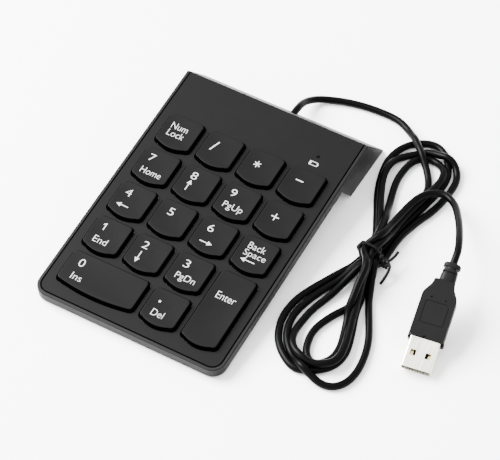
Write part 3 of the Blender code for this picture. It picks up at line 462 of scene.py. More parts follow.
def slab(outlines, low, high):
    """A flat plate between two heights; outlines inside the first are holes."""
    curve = bpy.data.curves.new("slab", "CURVE")
    curve.dimensions = "2D"
    curve.fill_mode = "BOTH"
    curve.extrude = (high - low) / 2
    for outline in outlines:
        spline = curve.splines.new("POLY")
        spline.points.add(len(outline) - 1)
        for point, (x, y) in zip(spline.points, outline):
            point.co = (x, y, 0, 1)
        spline.use_cyclic_u = True
    mesh = evaluated_mesh(curve)
    mesh.transform(Matrix.Translation((0, 0, (low + high) / 2)))
    return weld(mesh)


def prism(profile, half_width):
    """A side profile of (deck y, deck z) points, extruded across the deck."""
    mesh = slab([profile], -half_width, half_width)
    mesh.transform(Matrix.Rotation(math.pi / 2, 4, "Z") @ Matrix.Rotation(math.pi / 2, 4, "X"))
    return mesh


def ring_loft(rings, name="loft"):
    """Joins rings of 3-D points, one after another, and closes both ends."""
    bm = bmesh.new()
    made = [[bm.verts.new(point) for point in ring] for ring in rings]
    for lower, upper in zip(made, made[1:]):
        for i in range(len(lower)):
            j = (i + 1) % len(lower)
            bm.faces.new((lower[i], lower[j], upper[j], upper[i]))
    bm.faces.new(made[0])
    bm.faces.new(made[-1])
    return mesh_from(bm, name)


def turned(profile, steps):
    """A profile of (radius, height) points turned about the z axis."""
    bm = bmesh.new()
    verts = [bm.verts.new((radius, 0, height)) for radius, height in profile]
    for first, second in zip(verts, verts[1:]):
        bm.edges.new((first, second))
    bmesh.ops.spin(
        bm, geom=bm.verts[:] + bm.edges[:], cent=(0, 0, 0), axis=(0, 0, 1),
        angle=2 * math.pi, steps=steps, use_merge=True,
    )
    bmesh.ops.remove_doubles(bm, verts=bm.verts, dist=1e-7)
    return mesh_from(bm)


def smooth_route(route, step):
    """Evenly spaced points along one smooth curve through the route's points."""
    knots = [Vector(point) for point in route]
    knots = [2 * knots[0] - knots[1], *knots, 2 * knots[-1] - knots[-2]]
    fine = []
    for i in range(1, len(knots) - 2):
        a, b, c, d = knots[i - 1:i + 3]
        for k in range(20):
            t = k / 20
            fine.append(0.5 * (
                2 * b + (c - a) * t + (2 * a - 5 * b + 4 * c - d) * t ** 2
                + (3 * b - a - 3 * c + d) * t ** 3
            ))
    fine.append(knots[-2])
    fine = np.array(fine)
    walked = np.concatenate(([0], np.cumsum(np.linalg.norm(np.diff(fine, axis=0), axis=1))))
    places = np.linspace(0, walked[-1], round(walked[-1] / step) + 1)
    return np.stack([np.interp(places, walked, fine[:, k]) for k in range(3)], axis=1)


def tube(name, path, radius, closed=False):
    """A curve object's data: a round wire along a path."""
    curve = bpy.data.curves.new(name, "CURVE")
    curve.dimensions = "3D"
    curve.bevel_depth = radius
    curve.bevel_resolution = TUBE_RESOLUTION
    curve.use_fill_caps = not closed
    spline = curve.splines.new("POLY")
    spline.points.add(len(path) - 1)
    for point, position in zip(spline.points, path):
        point.co = (*position, 1)
    spline.use_cyclic_u = closed
    return curve


# ---- Cord: out of the rear face, wound in a figure-of-eight hank, and on to the plug

INSIDE_CASE = ((0.0036, 0.0590, 0.0083), (0.0036, 0.0608, 0.0083))
LEAD_ROUTE = (
    (0.0036, 0.0626, 0.0083),
    (0.0036, 0.0656, 0.0080),
    (0.0033, 0.0692, 0.0066),
    (0.0034, 0.0724, 0.0050),
    (0.0043, 0.0754, 0.0036),
    (0.0061, 0.0780, 0.0026),
    (0.0089, 0.0801, 0.0020),
    (0.0169, 0.0832, 0.0018),
    (0.0264, 0.0850, 0.0018),
    (0.0371, 0.0853, 0.0018),
    (0.0443, 0.0836, 0.0023),
    (0.0494, 0.0803, 0.0037),
)
TO_WAIST = (
    (0.0550, 0.0749, 0.0065),
    (0.0602, 0.0698, 0.0085),
    (0.0643, 0.0655, 0.0085),
    (0.0675, 0.0610, 0.0070),
    (0.0694, 0.0555, 0.0050),
    (0.0690, 0.0460, 0.0030),
    (0.0672, 0.0359, 0.0022),
    (0.0659, 0.0257, 0.0020),
)
# The loops of the hank, each a list of points along the way that it lies.
LOOPS = (
    (  # left loop on the near side
        (0.0605, 0.0055, 0.0018), (0.0561, -0.0031, 0.0018), (0.0519, -0.0119, 0.0018),
        (0.0494, -0.0196, 0.0018), (0.0489, -0.0284, 0.0018), (0.0512, -0.0367, 0.0018),
        (0.0547, -0.0420, 0.0018), (0.0590, -0.0456, 0.0018), (0.0637, -0.0479, 0.0018),
        (0.0686, -0.0479, 0.0018), (0.0726, -0.0456, 0.0018), (0.0770, -0.0415, 0.0018),
        (0.0791, -0.0364, 0.0018), (0.0785, -0.0296, 0.0018), (0.0751, -0.0192, 0.0018),
        (0.0722, -0.0104, 0.0020), (0.0699, -0.0012, 0.0024), (0.0679, 0.0075, 0.0026),
    ),
    (  # outer loop on the far side
        (0.0628, 0.0222, 0.0040), (0.0580, 0.0333, 0.0034), (0.0528, 0.0435, 0.0028),
        (0.0491, 0.0538, 0.0024), (0.0475, 0.0647, 0.0022), (0.0488, 0.0712, 0.0022),
        (0.0519, 0.0761, 0.0022), (0.0564, 0.0792, 0.0022), (0.0604, 0.0805, 0.0022),
        (0.0640, 0.0797, 0.0022), (0.0687, 0.0757, 0.0026), (0.0716, 0.0708, 0.0030),
        (0.0734, 0.0655, 0.0030), (0.0734, 0.0613, 0.0026), (0.0731, 0.0566, 0.0022),
        (0.0716, 0.0496, 0.0020), (0.0696, 0.0400, 0.0020), (0.0683, 0.0293, 0.0030),
    ),
    (  # longest loop on the near side
        (0.0641, 0.0089, 0.0045), (0.0608, 0.0006, 0.0045), (0.0568, -0.0086, 0.0040),
        (0.0538, -0.0171, 0.0036), (0.0523, -0.0249, 0.0034), (0.0532, -0.0325, 0.0034),
        (0.0561, -0.0381, 0.0036), (0.0606, -0.0431, 0.0046), (0.0666, -0.0474, 0.0058),
        (0.0713, -0.0488, 0.0050), (0.0759, -0.0500, 0.0034), (0.0795, -0.0501, 0.0024),
        (0.0825, -0.0492, 0.0018), (0.0857, -0.0455, 0.0018), (0.0871, -0.0390, 0.0018),
        (0.0864, -0.0312, 0.0018), (0.0839, -0.0227, 0.0018), (0.0795, -0.0140, 0.0018),
        (0.0751, -0.0059, 0.0030), (0.0718, 0.0019, 0.0050), (0.0693, 0.0091, 0.0065),
    ),
    (  # second loop on the far side
        (0.0646, 0.0223, 0.0070), (0.0597, 0.0324, 0.0062), (0.0550, 0.0419, 0.0056),
        (0.0508, 0.0521, 0.0052), (0.0495, 0.0607, 0.0050), (0.0511, 0.0666, 0.0048),
        (0.0545, 0.0708, 0.0046), (0.0580, 0.0731, 0.0044), (0.0619, 0.0747, 0.0040),
        (0.0675, 0.0747, 0.0034), (0.0718, 0.0744, 0.0026), (0.0754, 0.0715, 0.0020),
        (0.0775, 0.0664, 0.0018), (0.0776, 0.0603, 0.0018), (0.0771, 0.0540, 0.0018),
        (0.0755, 0.0464, 0.0020), (0.0726, 0.0387, 0.0030), (0.0705, 0.0294, 0.0044),
    ),
    (  # inner loop on the near side
        (0.0655, 0.0061, 0.0080), (0.0629, -0.0017, 0.0078), (0.0604, -0.0112, 0.0072),
        (0.0578, -0.0186, 0.0062), (0.0567, -0.0263, 0.0056), (0.0569, -0.0340, 0.0052),
        (0.0587, -0.0397, 0.0050), (0.0624, -0.0431, 0.0050), (0.0670, -0.0450, 0.0052),
        (0.0721, -0.0445, 0.0054), (0.0771, -0.0417, 0.0054), (0.0789, -0.0369, 0.0054),
        (0.0777, -0.0298, 0.0054), (0.0755, -0.0224, 0.0054), (0.0724, -0.0126, 0.0056),
        (0.0695, -0.0014, 0.0066), (0.0679, 0.0074, 0.0080),
    ),
    (  # inner loop on the far side
        (0.0648, 0.0218, 0.0098), (0.0625, 0.0307, 0.0080), (0.0587, 0.0435, 0.0040),
        (0.0558, 0.0542, 0.0018), (0.0555, 0.0621, 0.0018), (0.0568, 0.0685, 0.0018),
        (0.0600, 0.0722, 0.0018), (0.0644, 0.0727, 0.0026), (0.0687, 0.0704, 0.0040),
        (0.0715, 0.0677, 0.0052), (0.0727, 0.0624, 0.0060), (0.0722, 0.0572, 0.0060),
        (0.0708, 0.0509, 0.0056), (0.0691, 0.0426, 0.0056), (0.0679, 0.0326, 0.0066),
        (0.0677, 0.0208, 0.0080),
    ),
    (  # small loop on the near side, inside the others
        (0.0684, 0.0040, 0.0070), (0.0700, -0.0057, 0.0055), (0.0699, -0.0120, 0.0035),
        (0.0670, -0.0165, 0.0020), (0.0644, -0.0225, 0.0018), (0.0627, -0.0291, 0.0018),
        (0.0637, -0.0358, 0.0018), (0.0661, -0.0410, 0.0018), (0.0702, -0.0436, 0.0020),
        (0.0734, -0.0413, 0.0024), (0.0759, -0.0371, 0.0026), (0.0759, -0.0305, 0.0026),
        (0.0736, -0.0229, 0.0030), (0.0714, -0.0148, 0.0044), (0.0697, -0.0050, 0.0075),
        (0.0686, 0.0043, 0.0095),
    ),
)
FROM_WAIST = (
    (0.0665, 0.0210, 0.0100), (0.0666, 0.0279, 0.0092), (0.0673, 0.0351, 0.0085),
    (0.0682, 0.0423, 0.0078), (0.0698, 0.0481, 0.0074), (0.0724, 0.0520, 0.0070),
    (0.0752, 0.0537, 0.0070), (0.0787, 0.0539, 0.0072),
)
TAIL_ROUTE = (
    (0.0823, 0.0521, 0.0074),
    (0.0847, 0.0498, 0.0084),
    (0.0876, 0.0457, 0.0102),
    (0.0922, 0.0378, 0.0136),
    (0.0959, 0.0303, 0.0164),
    (0.0979, 0.0257, 0.0177),
    (0.0993, 0.0217, 0.0181),
    (0.0998, 0.0189, 0.0176),
    (0.1001, 0.0169, 0.0170),
)
# Where the eight passes lie in the tied bundle: across it, and above the surface.
WAIST_SLOTS = (
    (-0.0036, 0.0018), (-0.0052, 0.0048), (0.0000, 0.0018), (0.0018, 0.0048),
    (0.0036, 0.0018), (-0.0018, 0.0048), (0.0000, 0.0078), (-0.0036, 0.0078),
)
INSIDE_RELIEF = ((0.0007, 0.0320, 0), (0.0007, 0.0290, 0))  # in the plug's frame
CORD_STEP = 0.0020
SETTLING_ROUNDS = 260
SAG = 0.00002  # how far the cord sinks in each round
PUSH = (0.30, 0.30, 0.45)  # mostly upwards, so that the loops stay where they lie
LEAD_HELD = 0.062  # the lead and the tail spring clear of the table, and keep their arcs
TAIL_HELD = 0.058
EASING = 0.012
CONTACT = 2.02 * CORD_RADIUS  # from centre to centre, where the cord lies on itself
STIFFENING = 0.22
PLAN_HOLD = 0.10
ROUTE_HOLD = 0.5  # at the tie, and where the cord springs clear
TIE_REACH = (0.010, 0.005)  # how far the tie's hold goes, across and along the bundle
TIE_GRIP = 0.8
TIE_LIFT = 1.2 * TIE_RADIUS
FIXED_AT_START = 6
FIXED_AT_END = 8


def hank_route():
    """Every loop in turn, joined through the waist, and into the plug's strain relief."""
    route = [*LEAD_ROUTE, *TO_WAIST]
    for slot, loop in zip(WAIST_SLOTS, (*LOOPS, FROM_WAIST)):
        route.append((WAIST.x + slot[0], WAIST.y, slot[1]))
        route.extend(loop)
    inside = [tuple(PLUG @ Vector(point)) for point in INSIDE_RELIEF]
    return [*INSIDE_CASE, *route, *TAIL_ROUTE, *inside]


def settle(points, step):
    """Lays the cord down: it keeps its thickness where it crosses itself, and it sags."""
    line = points.copy()
    start = points.copy()
    count = len(line)
    index = np.arange(count)
    apart = np.abs(index[:, None] - index[None, :]) * step > 4 * CORD_RADIUS
    held = (index < FIXED_AT_START) | (index > count - FIXED_AT_END)
    springy = np.clip((LEAD_HELD - index * step) / EASING, 0, 1)
    springy += np.clip((TAIL_HELD - (count - index) * step) / EASING, 0, 1)
    tied = np.exp(-((start[:, 1] - WAIST.y) / TIE_REACH[1]) ** 2)
    tied[abs(start[:, 0] - WAIST.x) > TIE_REACH[0]] = 0
    over_tie = TIE_LIFT * tied
    for _ in range(SETTLING_ROUNDS):
        line[:, 2] -= SAG * (1 - springy)
        offset = line[:, None, :] - line[None, :, :]
        distance = np.linalg.norm(offset, axis=2)
        near = apart & (distance < CONTACT)
        depth = np.where(near, CONTACT - distance, 0)
        direction = offset / np.maximum(distance, 1e-6)[:, :, None]
        push = (direction * depth[:, :, None]).sum(axis=1) / np.maximum(near.sum(axis=1), 1)[:, None]
        line += push * (1 - TIE_GRIP * tied)[:, None] * PUSH
        line[1:-1] += STIFFENING * (0.5 * (line[:-2] + line[2:]) - line[1:-1])
        line[:, :2] += PLAN_HOLD * (start[:, :2] - line[:, :2])
        line += ROUTE_HOLD * np.maximum(tied, springy)[:, None] * (start - line)
        line[:, 2] = np.maximum(line[:, 2], CORD_RADIUS + over_tie)
        line[held] = start[held]
    return line


def add_cord():
    coarse = smooth_route(hank_route(), CORD_STEP)
    settled = settle(coarse, CORD_STEP)
    path = smooth_route(settled, CORD_STEP / 2)
    cord = bpy.data.objects.new("usb_lead", tube("usb_lead", path, CORD_RADIUS))
    bpy.context.scene.collection.objects.link(cord)
    cord.data.materials.append(materials["cord_sheath"])
    for spline in cord.data.splines:
        spline.use_smooth = True
    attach(cord, "base")
    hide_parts("cord_lead", "cord_hank", "cord_tail")
    return cord, path


cord, cord_path = add_cord()


# ---- Keys


KEYS = {
    # name: (column, row from the front, columns, rows)
    "num_lock": (0, 4, 1, 1), "divide": (1, 4, 1, 1), "multiply": (2, 4, 1, 1), "subtract": (3, 4, 1, 1),
    "7": (0, 3, 1, 1), "8": (1, 3, 1, 1), "9": (2, 3, 1, 1), "add": (3, 3, 1, 1),
    "4": (0, 2, 1, 1), "5": (1, 2, 1, 1), "6": (2, 2, 1, 1), "backspace": (3, 2, 1, 1),
    "1": (0, 1, 1, 1), "2": (1, 1, 1, 1), "3": (2, 1, 1, 1), "decimal": (2, 0, 1, 1),
    "0": (0, 0, 2, 1), "enter": (3, 0, 1, 2),
}
CORNER_STEPS = 7
BOW_STEPS = 18
SIDE_STEPS = 10
SKIRT_EDGE = 0.00008  # how much the skirt's lower edges are softened
BROW = 0.00032  # from the key's outline in to where its dish starts
DISH_SHARES = (1.0, 0.94, 0.84, 0.70, 0.52, 0.34, 0.16)
STEM_CORNER = 0.0004


def key_place(column, row, columns, rows):
    """Centre, width and depth of a key's top face."""
    x = (column - 1.5 + (columns - 1) / 2) * PITCH
    y = FRONT_ROW + (row + (rows - 1) / 2) * PITCH
    return Vector((x, y)), KEY_WIDTH + (columns - 1) * PITCH, KEY_DEPTH + (rows - 1) * PITCH


def key_outline(width, depth, growth):
    """A rounded rectangle about the origin whose front edge bows, grown on every side."""
    half_width = width / 2 + growth
    half_depth = depth / 2 + growth
    radius = max(KEY_CORNER + growth, 0.0004)
    right, rear = half_width - radius, half_depth - radius
    quarter = math.pi / 2
    points = arc((-right, -rear), radius, 2 * quarter, 3 * quarter, CORNER_STEPS)
    for i in range(1, BOW_STEPS):
        across = -1 + 2 * i / BOW_STEPS
        points.append((across * right, -half_depth - KEY_BOW * (1 - across ** 2)))
    points += arc((right, -rear), radius, -quarter, 0, CORNER_STEPS)
    points += [(half_width, -rear + 2 * rear * i / SIDE_STEPS) for i in range(1, SIDE_STEPS)]
    points += arc((right, rear), radius, 0, quarter, CORNER_STEPS)
    points += [(right - 2 * right * i / BOW_STEPS, half_depth) for i in range(1, BOW_STEPS)]
    points += arc((-right, rear), radius, quarter, 2 * quarter, CORNER_STEPS)
    points += [(-half_width, rear - 2 * rear * i / SIDE_STEPS) for i in range(1, SIDE_STEPS)]
    return points


def dish(x, y, width, depth):
    """Height of a key's dished top face."""
    u = min(abs(2 * x / width), 1)
    v = min(abs(2 * y / depth), 1)
    return KEY_TOP - KEY_DISH * (1 - u ** 2) * (1 - v ** 2)


def keycap_mesh(width, depth):
    """A hollow cap in its own frame: dished top, softened brow, flared skirt and a stem."""
    def ring(growth, height):
        return [(x, y, height) for x, y in key_outline(width, depth, growth)]

    rings = [
        ring(-SKIRT_WALL, KEY_UNDERSIDE),
        ring(SKIRT_FLARE - SKIRT_WALL, SKIRT_BOTTOM + SKIRT_EDGE),
        ring(SKIRT_FLARE - SKIRT_WALL + SKIRT_EDGE, SKIRT_BOTTOM),
        ring(SKIRT_FLARE - SKIRT_EDGE, SKIRT_BOTTOM),
        ring(SKIRT_FLARE, SKIRT_BOTTOM + SKIRT_EDGE),
        ring(0.00048, 0.0004),
        ring(0.00026, 0.0010),
        ring(0.00014, KEY_TOP - 0.00030),
        ring(0.00009, KEY_TOP - 0.00015),
        ring(-0.00001, KEY_TOP - 0.00005),
        ring(-0.00014, KEY_TOP - 0.00001),
    ]
    brow = len(rings) - 1
    rim = key_outline(width, depth, -BROW)
    for share in DISH_SHARES:
        rings.append([(x * share, y * share, dish(x * share, y * share, width, depth)) for x, y in rim])
    mesh = ring_loft(rings, name="keycap")
    around = len(rim)
    for i, polygon in enumerate(mesh.polygons):
        # Faces below the brow take the second slot, the skirt material that carries the painted shade.
        polygon.material_index = 0 if i >= around * (brow - 2) else 1
    return mesh


def stem_mesh():
    half = STEM_HALF
    outline = rectangle(-half, -half, half, half, STEM_CORNER)
    return slab([outline], STEM_BOTTOM, KEY_UNDERSIDE + 0.0002)


def join(first, second):
    bm = bmesh.new()
    bm.from_mesh(first)
    bm.from_mesh(second)
    bm.to_mesh(first)
    bm.free()
    return first


def add_keys():
    for key, cell in KEYS.items():
        centre, width, depth = key_place(*cell)
        mesh = join(keycap_mesh(width, depth), stem_mesh())
        name = "key_" + key
        place = DECK @ Matrix.Translation((*centre, 0))
        # The second slot paints shade on the skirts.
        slots = ("key_plastic", "key_skirt_painted_shade")
        add_piece("cap_" + key, finish_mesh(mesh, 40), slots, name, place, (name,))


add_keys()


# ---- Legends, in millimetres across and down from the left rear corner of a key's top.

CAP_HEIGHT = 0.69  # of the built-in font, as a share of its size
PRINT_HEIGHT = 0.00003  # how far the ink stands off the key
PRINT_THICKNESS = 0.000012
LETTER_THINNING = 0.00004
MARK_DISTANCE = 0.0038  # from the status light forward to the battery sign
STROKE = 0.00042
ASTERISK_PLACE = (0.0058, -0.0066, 0)
ASTERISK_SIZE = 0.0032
ARROW_HEAD = 0.0021
ARROW_SPREAD = 0.52  # half the head's width, as a share of its length
WORDS = {
    # key: ((text, left, right, top, bottom of the capitals), ...)
    "num_lock": (("Num", 2.8, 10.3, 3.6, 6.7), ("Lock", 2.9, 10.5, 7.4, 10.6)),
    "divide": (("/", 3.5, 6.0, 4.1, 9.1),),
    "7": (("7", 2.8, 5.4, 2.7, 6.1), ("Home", 2.8, 12.1, 9.5, 12.7)),
    "8": (("8", 3.8, 6.4, 2.6, 6.1),),
    "9": (("9", 3.2, 5.7, 2.6, 6.1), ("PgUp", 3.2, 12.0, 9.0, 12.1)),
    "4": (("4", 3.3, 6.0, 2.9, 6.4),),
    "5": (("5", 4.4, 6.9, 3.1, 6.6),),
    "6": (("6", 3.6, 6.2, 2.6, 6.1),),
    "backspace": (("Back", 3.2, 10.8, 2.6, 5.7), ("Space", 3.0, 12.8, 6.3, 9.2)),
    "1": (("End", 3.4, 9.6, 9.3, 12.5),),
    "2": (("2", 3.6, 6.2, 2.7, 6.1),),
    "3": (("3", 3.7, 6.2, 2.7, 6.3), ("PgDn", 3.4, 12.2, 9.1, 12.2)),
    "enter": (("Enter", 3.4, 12.0, 9.5, 12.9),),
    "0": (("0", 4.5, 7.0, 2.7, 6.3), ("Ins", 4.9, 9.6, 9.5, 12.7)),
    "decimal": (("Del", 3.8, 9.1, 9.3, 12.5),),
}
BARS = {
    # key: ((left, right, top, bottom), ...)
    "subtract": ((4.3, 7.7, 5.65, 6.15),),
    "add": ((4.2, 7.6, 6.67, 7.13), (5.67, 6.13, 5.2, 8.6)),
    "decimal": ((3.9, 4.8, 5.2, 6.1),),
}
FIGURE_ONE = ((4.95, 6.1), (4.95, 2.7), (4.60, 2.7), (3.70, 3.4), (3.70, 3.9), (4.50, 3.4), (4.50, 6.1))
ARROWS = {
    # key: (tail, tip)
    "8": ((5.0, 12.1), (5.0, 6.7)),
    "4": ((8.1, 11.2), (2.6, 11.2)),
    "6": ((3.6, 11.4), (9.2, 11.4)),
    "backspace": ((9.6, 11.3), (3.2, 11.3)),
    "2": ((4.9, 7.7), (4.9, 13.3)),
}


def text_mesh(text, left, right, top, bottom):
    """Lettering of this cap height, stretched to this width. Heights are given downwards."""
    curve = bpy.data.curves.new("text", "FONT")
    curve.body = text
    curve.size = (bottom - top) / CAP_HEIGHT
    curve.offset = -LETTER_THINNING
    curve.extrude = PRINT_THICKNESS
    curve.resolution_u = 8
    mesh = evaluated_mesh(curve)
    low = Vector([min(v.co[i] for v in mesh.vertices) for i in range(3)])
    high = Vector([max(v.co[i] for v in mesh.vertices) for i in range(3)])
    stretch = (right - left) / (high.x - low.x)
    whole = len(text) == 1
    rise = (bottom - top) / (high.y - low.y) if whole else 1
    floor = low.y if whole else 0
    for v in mesh.vertices:
        v.co = (left + (v.co.x - low.x) * stretch, (v.co.y - floor) * rise - bottom, v.co.z)
    return mesh


def printed(outline):
    """A film of ink with this outline."""
    return slab([outline], -PRINT_THICKNESS, PRINT_THICKNESS)


def arrow_mesh(tail, tip):
    """A straight arrow with a filled triangular head."""
    tail = Vector((tail[0], -tail[1]))
    tip = Vector((tip[0], -tip[1]))
    along = (tip - tail).normalized()
    aside = Vector((-along.y, along.x))
    neck = tip - along * ARROW_HEAD
    outline = [
        tail + aside * STROKE / 2, neck + aside * STROKE / 2,
        neck + aside * ARROW_HEAD * ARROW_SPREAD, tip, neck - aside * ARROW_HEAD * ARROW_SPREAD,
        neck - aside * STROKE / 2, tail - aside * STROKE / 2,
    ]
    return printed([(point.x, point.y) for point in outline])


def asterisk_strokes():
    """Three strokes through one centre, a sixth of a turn apart."""
    half_length, half_width = ASTERISK_SIZE / 2, STROKE / 2
    strokes = []
    for i in range(3):
        bar = printed(rectangle(-half_length, -half_width, half_length, half_width))
        turn = Matrix.Rotation(math.pi * (1 / 2 + i / 3), 4, "Z")
        bar.transform(Matrix.Translation(ASTERISK_PLACE) @ turn)
        strokes.append(bar)
    return strokes


def print_parts(key):
    """Every word, bar and arrow on one key, with y running rearwards from the rear edge."""
    parts = []
    for text, *box in WORDS.get(key, ()):
        parts.append(text_mesh(text, *[value * MM for value in box]))
    for left, right, top, bottom in BARS.get(key, ()):
        parts.append(printed(rectangle(left * MM, -bottom * MM, right * MM, -top * MM)))
    if key == "multiply":
        parts.extend(asterisk_strokes())
    if key == "1":
        parts.append(printed([(x * MM, -y * MM) for x, y in FIGURE_ONE]))
    if key in ARROWS:
        parts.append(arrow_mesh(*[[value * MM for value in end] for end in ARROWS[key]]))
    return parts


def add_legends():
    for key, cell in KEYS.items():
        centre, width, depth = key_place(*cell)
        parts = print_parts(key)
        mesh = parts[0]
        for part in parts[1:]:
            mesh = join(mesh, part)
        for v in mesh.vertices:
            x = v.co.x - width / 2
            y = v.co.y + depth / 2
            v.co = (x, y, dish(x, y, width, depth) + PRINT_HEIGHT + v.co.z)
        place = DECK @ Matrix.Translation((*centre, 0))
        add_piece("legend_" + key, mesh, ("ink",), "key_" + key, place)


def add_battery_mark():
    """The outlined battery sign in front of the status light, with a filled bar at its left end."""
    x, y = LIGHT_X, LIGHT_Y - MARK_DISTANCE
    line, left, right, half = 0.00028, 0.0020, 0.0017, 0.0010
    frame_outline = rectangle(x - left, y - half, x + right, y + half)
    hollow = rectangle(x - left + line, y - half + line, x + right - line, y + half - line)
    fill = rectangle(x - 0.0017, y - 0.0007, x - 0.0011, y + 0.0007)
    nub = rectangle(x + right, y - 0.00045, x + 0.0021, y + 0.00045)
    low = PRINT_HEIGHT - PRINT_THICKNESS
    high = PRINT_HEIGHT + PRINT_THICKNESS
    mesh = slab([frame_outline, hollow], low, high)
    mesh = join(mesh, slab([fill], low, high))
    mesh = join(mesh, slab([nub], low, high))
    add_piece("battery_mark", mesh, ("ink",), "base", DECK)


add_legends()
add_battery_mark()


# ---- Case


RIM_ROUNDING = 0.0005
LOWER_ROUNDING = 0.0009
SIDE_WALL = 0.0026
FLOOR_WALL = 0.0009
WEDGE_WALL = 0.0018
REAR_ROUNDING = 0.0010
FRONT_SCREWS = ((-0.0365, 0.0052), (0.0365, 0.0052))
REAR_SCREWS = ((-0.0360, 0.1130), (0.0360, 0.1130))
FRONT_FEET = ((-0.0220, 0.0050), (0.0220, 0.0050))
FOOT_RADIUS = 0.0031
FOOT_HEIGHT = 0.0012
GROMMET_RADIUS = 0.0032
# Screw posts, wells and pads, with their holes: radii, and deck heights of their ends.
FRONT_POST, FRONT_POST_END = 0.0024, -0.0039
REAR_POST, REAR_POST_END = 0.0026, -0.0062
PILOT, PILOT_TOP, PILOT_END = 0.0011, -0.0010, -0.0072
WELL, WELL_TOP, WELL_END = 0.0036, -0.0065, -0.0162
SCREW_PAD, FOOT_PAD, PAD_TOP, PAD_END = 0.0034, 0.0042, -0.0042, -0.0051
SHANK, SHANK_TOP = 0.0012, -0.003
FRONT_HEAD, FRONT_HEAD_TOP = 0.0022, -0.0048
REAR_HEAD, REAR_HEAD_TOP = 0.0023, -0.0085
CLEAR_BELOW = -0.025
CASE_SOFTENING = 50  # edges sharper than this many degrees are softened


def to_deck(y, z):
    """Deck (y, z) of a point given by its world y and z."""
    y += CASE_LENGTH / 2
    z -= DECK_FRONT_HEIGHT
    return (
        y * math.cos(DECK_TILT) + z * math.sin(DECK_TILT),
        z * math.cos(DECK_TILT) - y * math.sin(DECK_TILT),
    )


def case_profile():
    """Side view of the whole case: rim, wedge and slanting rear face."""
    wedge_front = to_deck(WEDGE_FRONT, TABLE_CLEARANCE)
    wedge_rear = to_deck(CASE_LENGTH / 2, TABLE_CLEARANCE)
    slope = (wedge_front[0] - WEDGE_ROOT) / (-BELLY_DEPTH - wedge_front[1])
    wedge_top = (WEDGE_ROOT - (BELLY_DEPTH - EDGE_DEPTH) * slope, -EDGE_DEPTH)
    return [(0, 0), (0, -EDGE_DEPTH), wedge_top, wedge_front, wedge_rear, (REAR_TOP, 0)]


def rear_face(z):
    """Deck y of the slanting rear face at a deck height."""
    bottom_y, bottom_z = case_profile()[4]
    return REAR_TOP + (bottom_y - REAR_TOP) * z / bottom_z


def belly_profile(wall):
    """Side view of the deeper middle, whose front lies parallel to the table."""
    level = to_deck(0, TABLE_CLEARANCE)
    slope = math.tan(DECK_TILT)
    front = BELLY_INSET
    bend = level[0] + (BELLY_DEPTH + level[1]) / slope
    corners = [
        (front, -EDGE_DEPTH + 0.0010),
        (front, level[1] - (front - level[0]) * slope),
        (bend, -BELLY_DEPTH),
        (WEDGE_ROOT + 0.0030, -BELLY_DEPTH),
        (WEDGE_ROOT + 0.0030, -EDGE_DEPTH + 0.0010),
    ]
    return inset(corners, [wall, wall, wall, -4 * wall, -wall])


def plan_outline(margin):
    """The case seen from above, open-ended at the rear, grown inwards by a margin."""
    half = CASE_WIDTH / 2 - margin
    radius = FRONT_CORNER - margin
    return rounded_outline([
        (-half, margin, radius), (half, margin, radius), (half, BEHIND_CASE, 0), (-half, BEHIND_CASE, 0),
    ], steps=14)


def top_cover_mesh():
    """The plate with its key openings; its rear rolls over and down into the case."""
    inner = LIP_THICKNESS
    profile = rounded_outline([
        (RIM_WIDTH + SEAM_WIDTH, 0, 0),
        (RIM_WIDTH + SEAM_WIDTH, -COVER_THICKNESS, 0),
        (rear_face(-COVER_THICKNESS) - inner, -COVER_THICKNESS, 0),
        (rear_face(-LIP_DEPTH) - inner, -LIP_DEPTH, 0),
        (rear_face(-LIP_DEPTH), -LIP_DEPTH, 0),
        (REAR_TOP, 0, REAR_ROUNDING),
    ], steps=10)
    plan = slab([plan_outline(RIM_WIDTH + SEAM_WIDTH)], -0.03, 0.03)
    mesh = combine(prism(profile, CASE_WIDTH / 2 - RIM_WIDTH - SEAM_WIDTH), "INTERSECT", plan)
    front = slab(circles(FRONT_SCREWS, FRONT_POST, 20), FRONT_POST_END, -COVER_THICKNESS / 2)
    rear = slab(circles(REAR_SCREWS, REAR_POST, 20), REAR_POST_END, -COVER_THICKNESS / 2)
    mesh = combine(mesh, "UNION", front, rear)
    openings = [circle((LIGHT_X, LIGHT_Y), LIGHT_HOLE_RADIUS, 20)]
    for cell in KEYS.values():
        centre, width, depth = key_place(*cell)
        outline = key_outline(width, depth, SKIRT_FLARE + GAP)
        openings.append([(centre.x + x, centre.y + y) for x, y in outline])
    pilots = circles((*FRONT_SCREWS, *REAR_SCREWS), PILOT, 16)
    mesh = combine(
        mesh, "DIFFERENCE", slab(openings, -COVER_THICKNESS - 0.001, CLEAR_ABOVE),
        slab(pilots, PILOT_END, PILOT_TOP),
    )
    return finish_mesh(soften(mesh, 0.00010, 3, CASE_SOFTENING), CASE_SOFTENING)


def tray_mesh():
    """The rim's solid shape, rounded at its upper and lower edges."""
    rings = []
    steps = 5
    for i in range(steps + 1):
        turn = math.pi / 2 * i / steps
        margin = RIM_ROUNDING * (1 - math.sin(turn))
        height = -RIM_ROUNDING * (1 - math.cos(turn))
        rings.append([(x, y, height) for x, y in plan_outline(margin)])
    for i in range(steps + 1):
        turn = math.pi / 2 * i / steps
        margin = LOWER_ROUNDING * (1 - math.cos(turn))
        height = -EDGE_DEPTH + LOWER_ROUNDING * (1 - math.sin(turn))
        rings.append([(x, y, height) for x, y in plan_outline(margin)])
    return ring_loft(rings)


def wedge_mesh():
    """The wedge under the rear, with softened lower edges."""
    profile = case_profile()
    corners = [
        (profile[2][0] + 0.0010, -EDGE_DEPTH + 0.0015, 0),
        (*profile[3], 0.0010),
        (*profile[4], 0.0004),
        (rear_face(-0.0010), -0.0010, 0),
        (profile[2][0] + 0.0010, -0.0010, 0),
    ]
    return soften(prism(rounded_outline(corners, 6), CASE_WIDTH / 2), 0.0004, 3, 40)


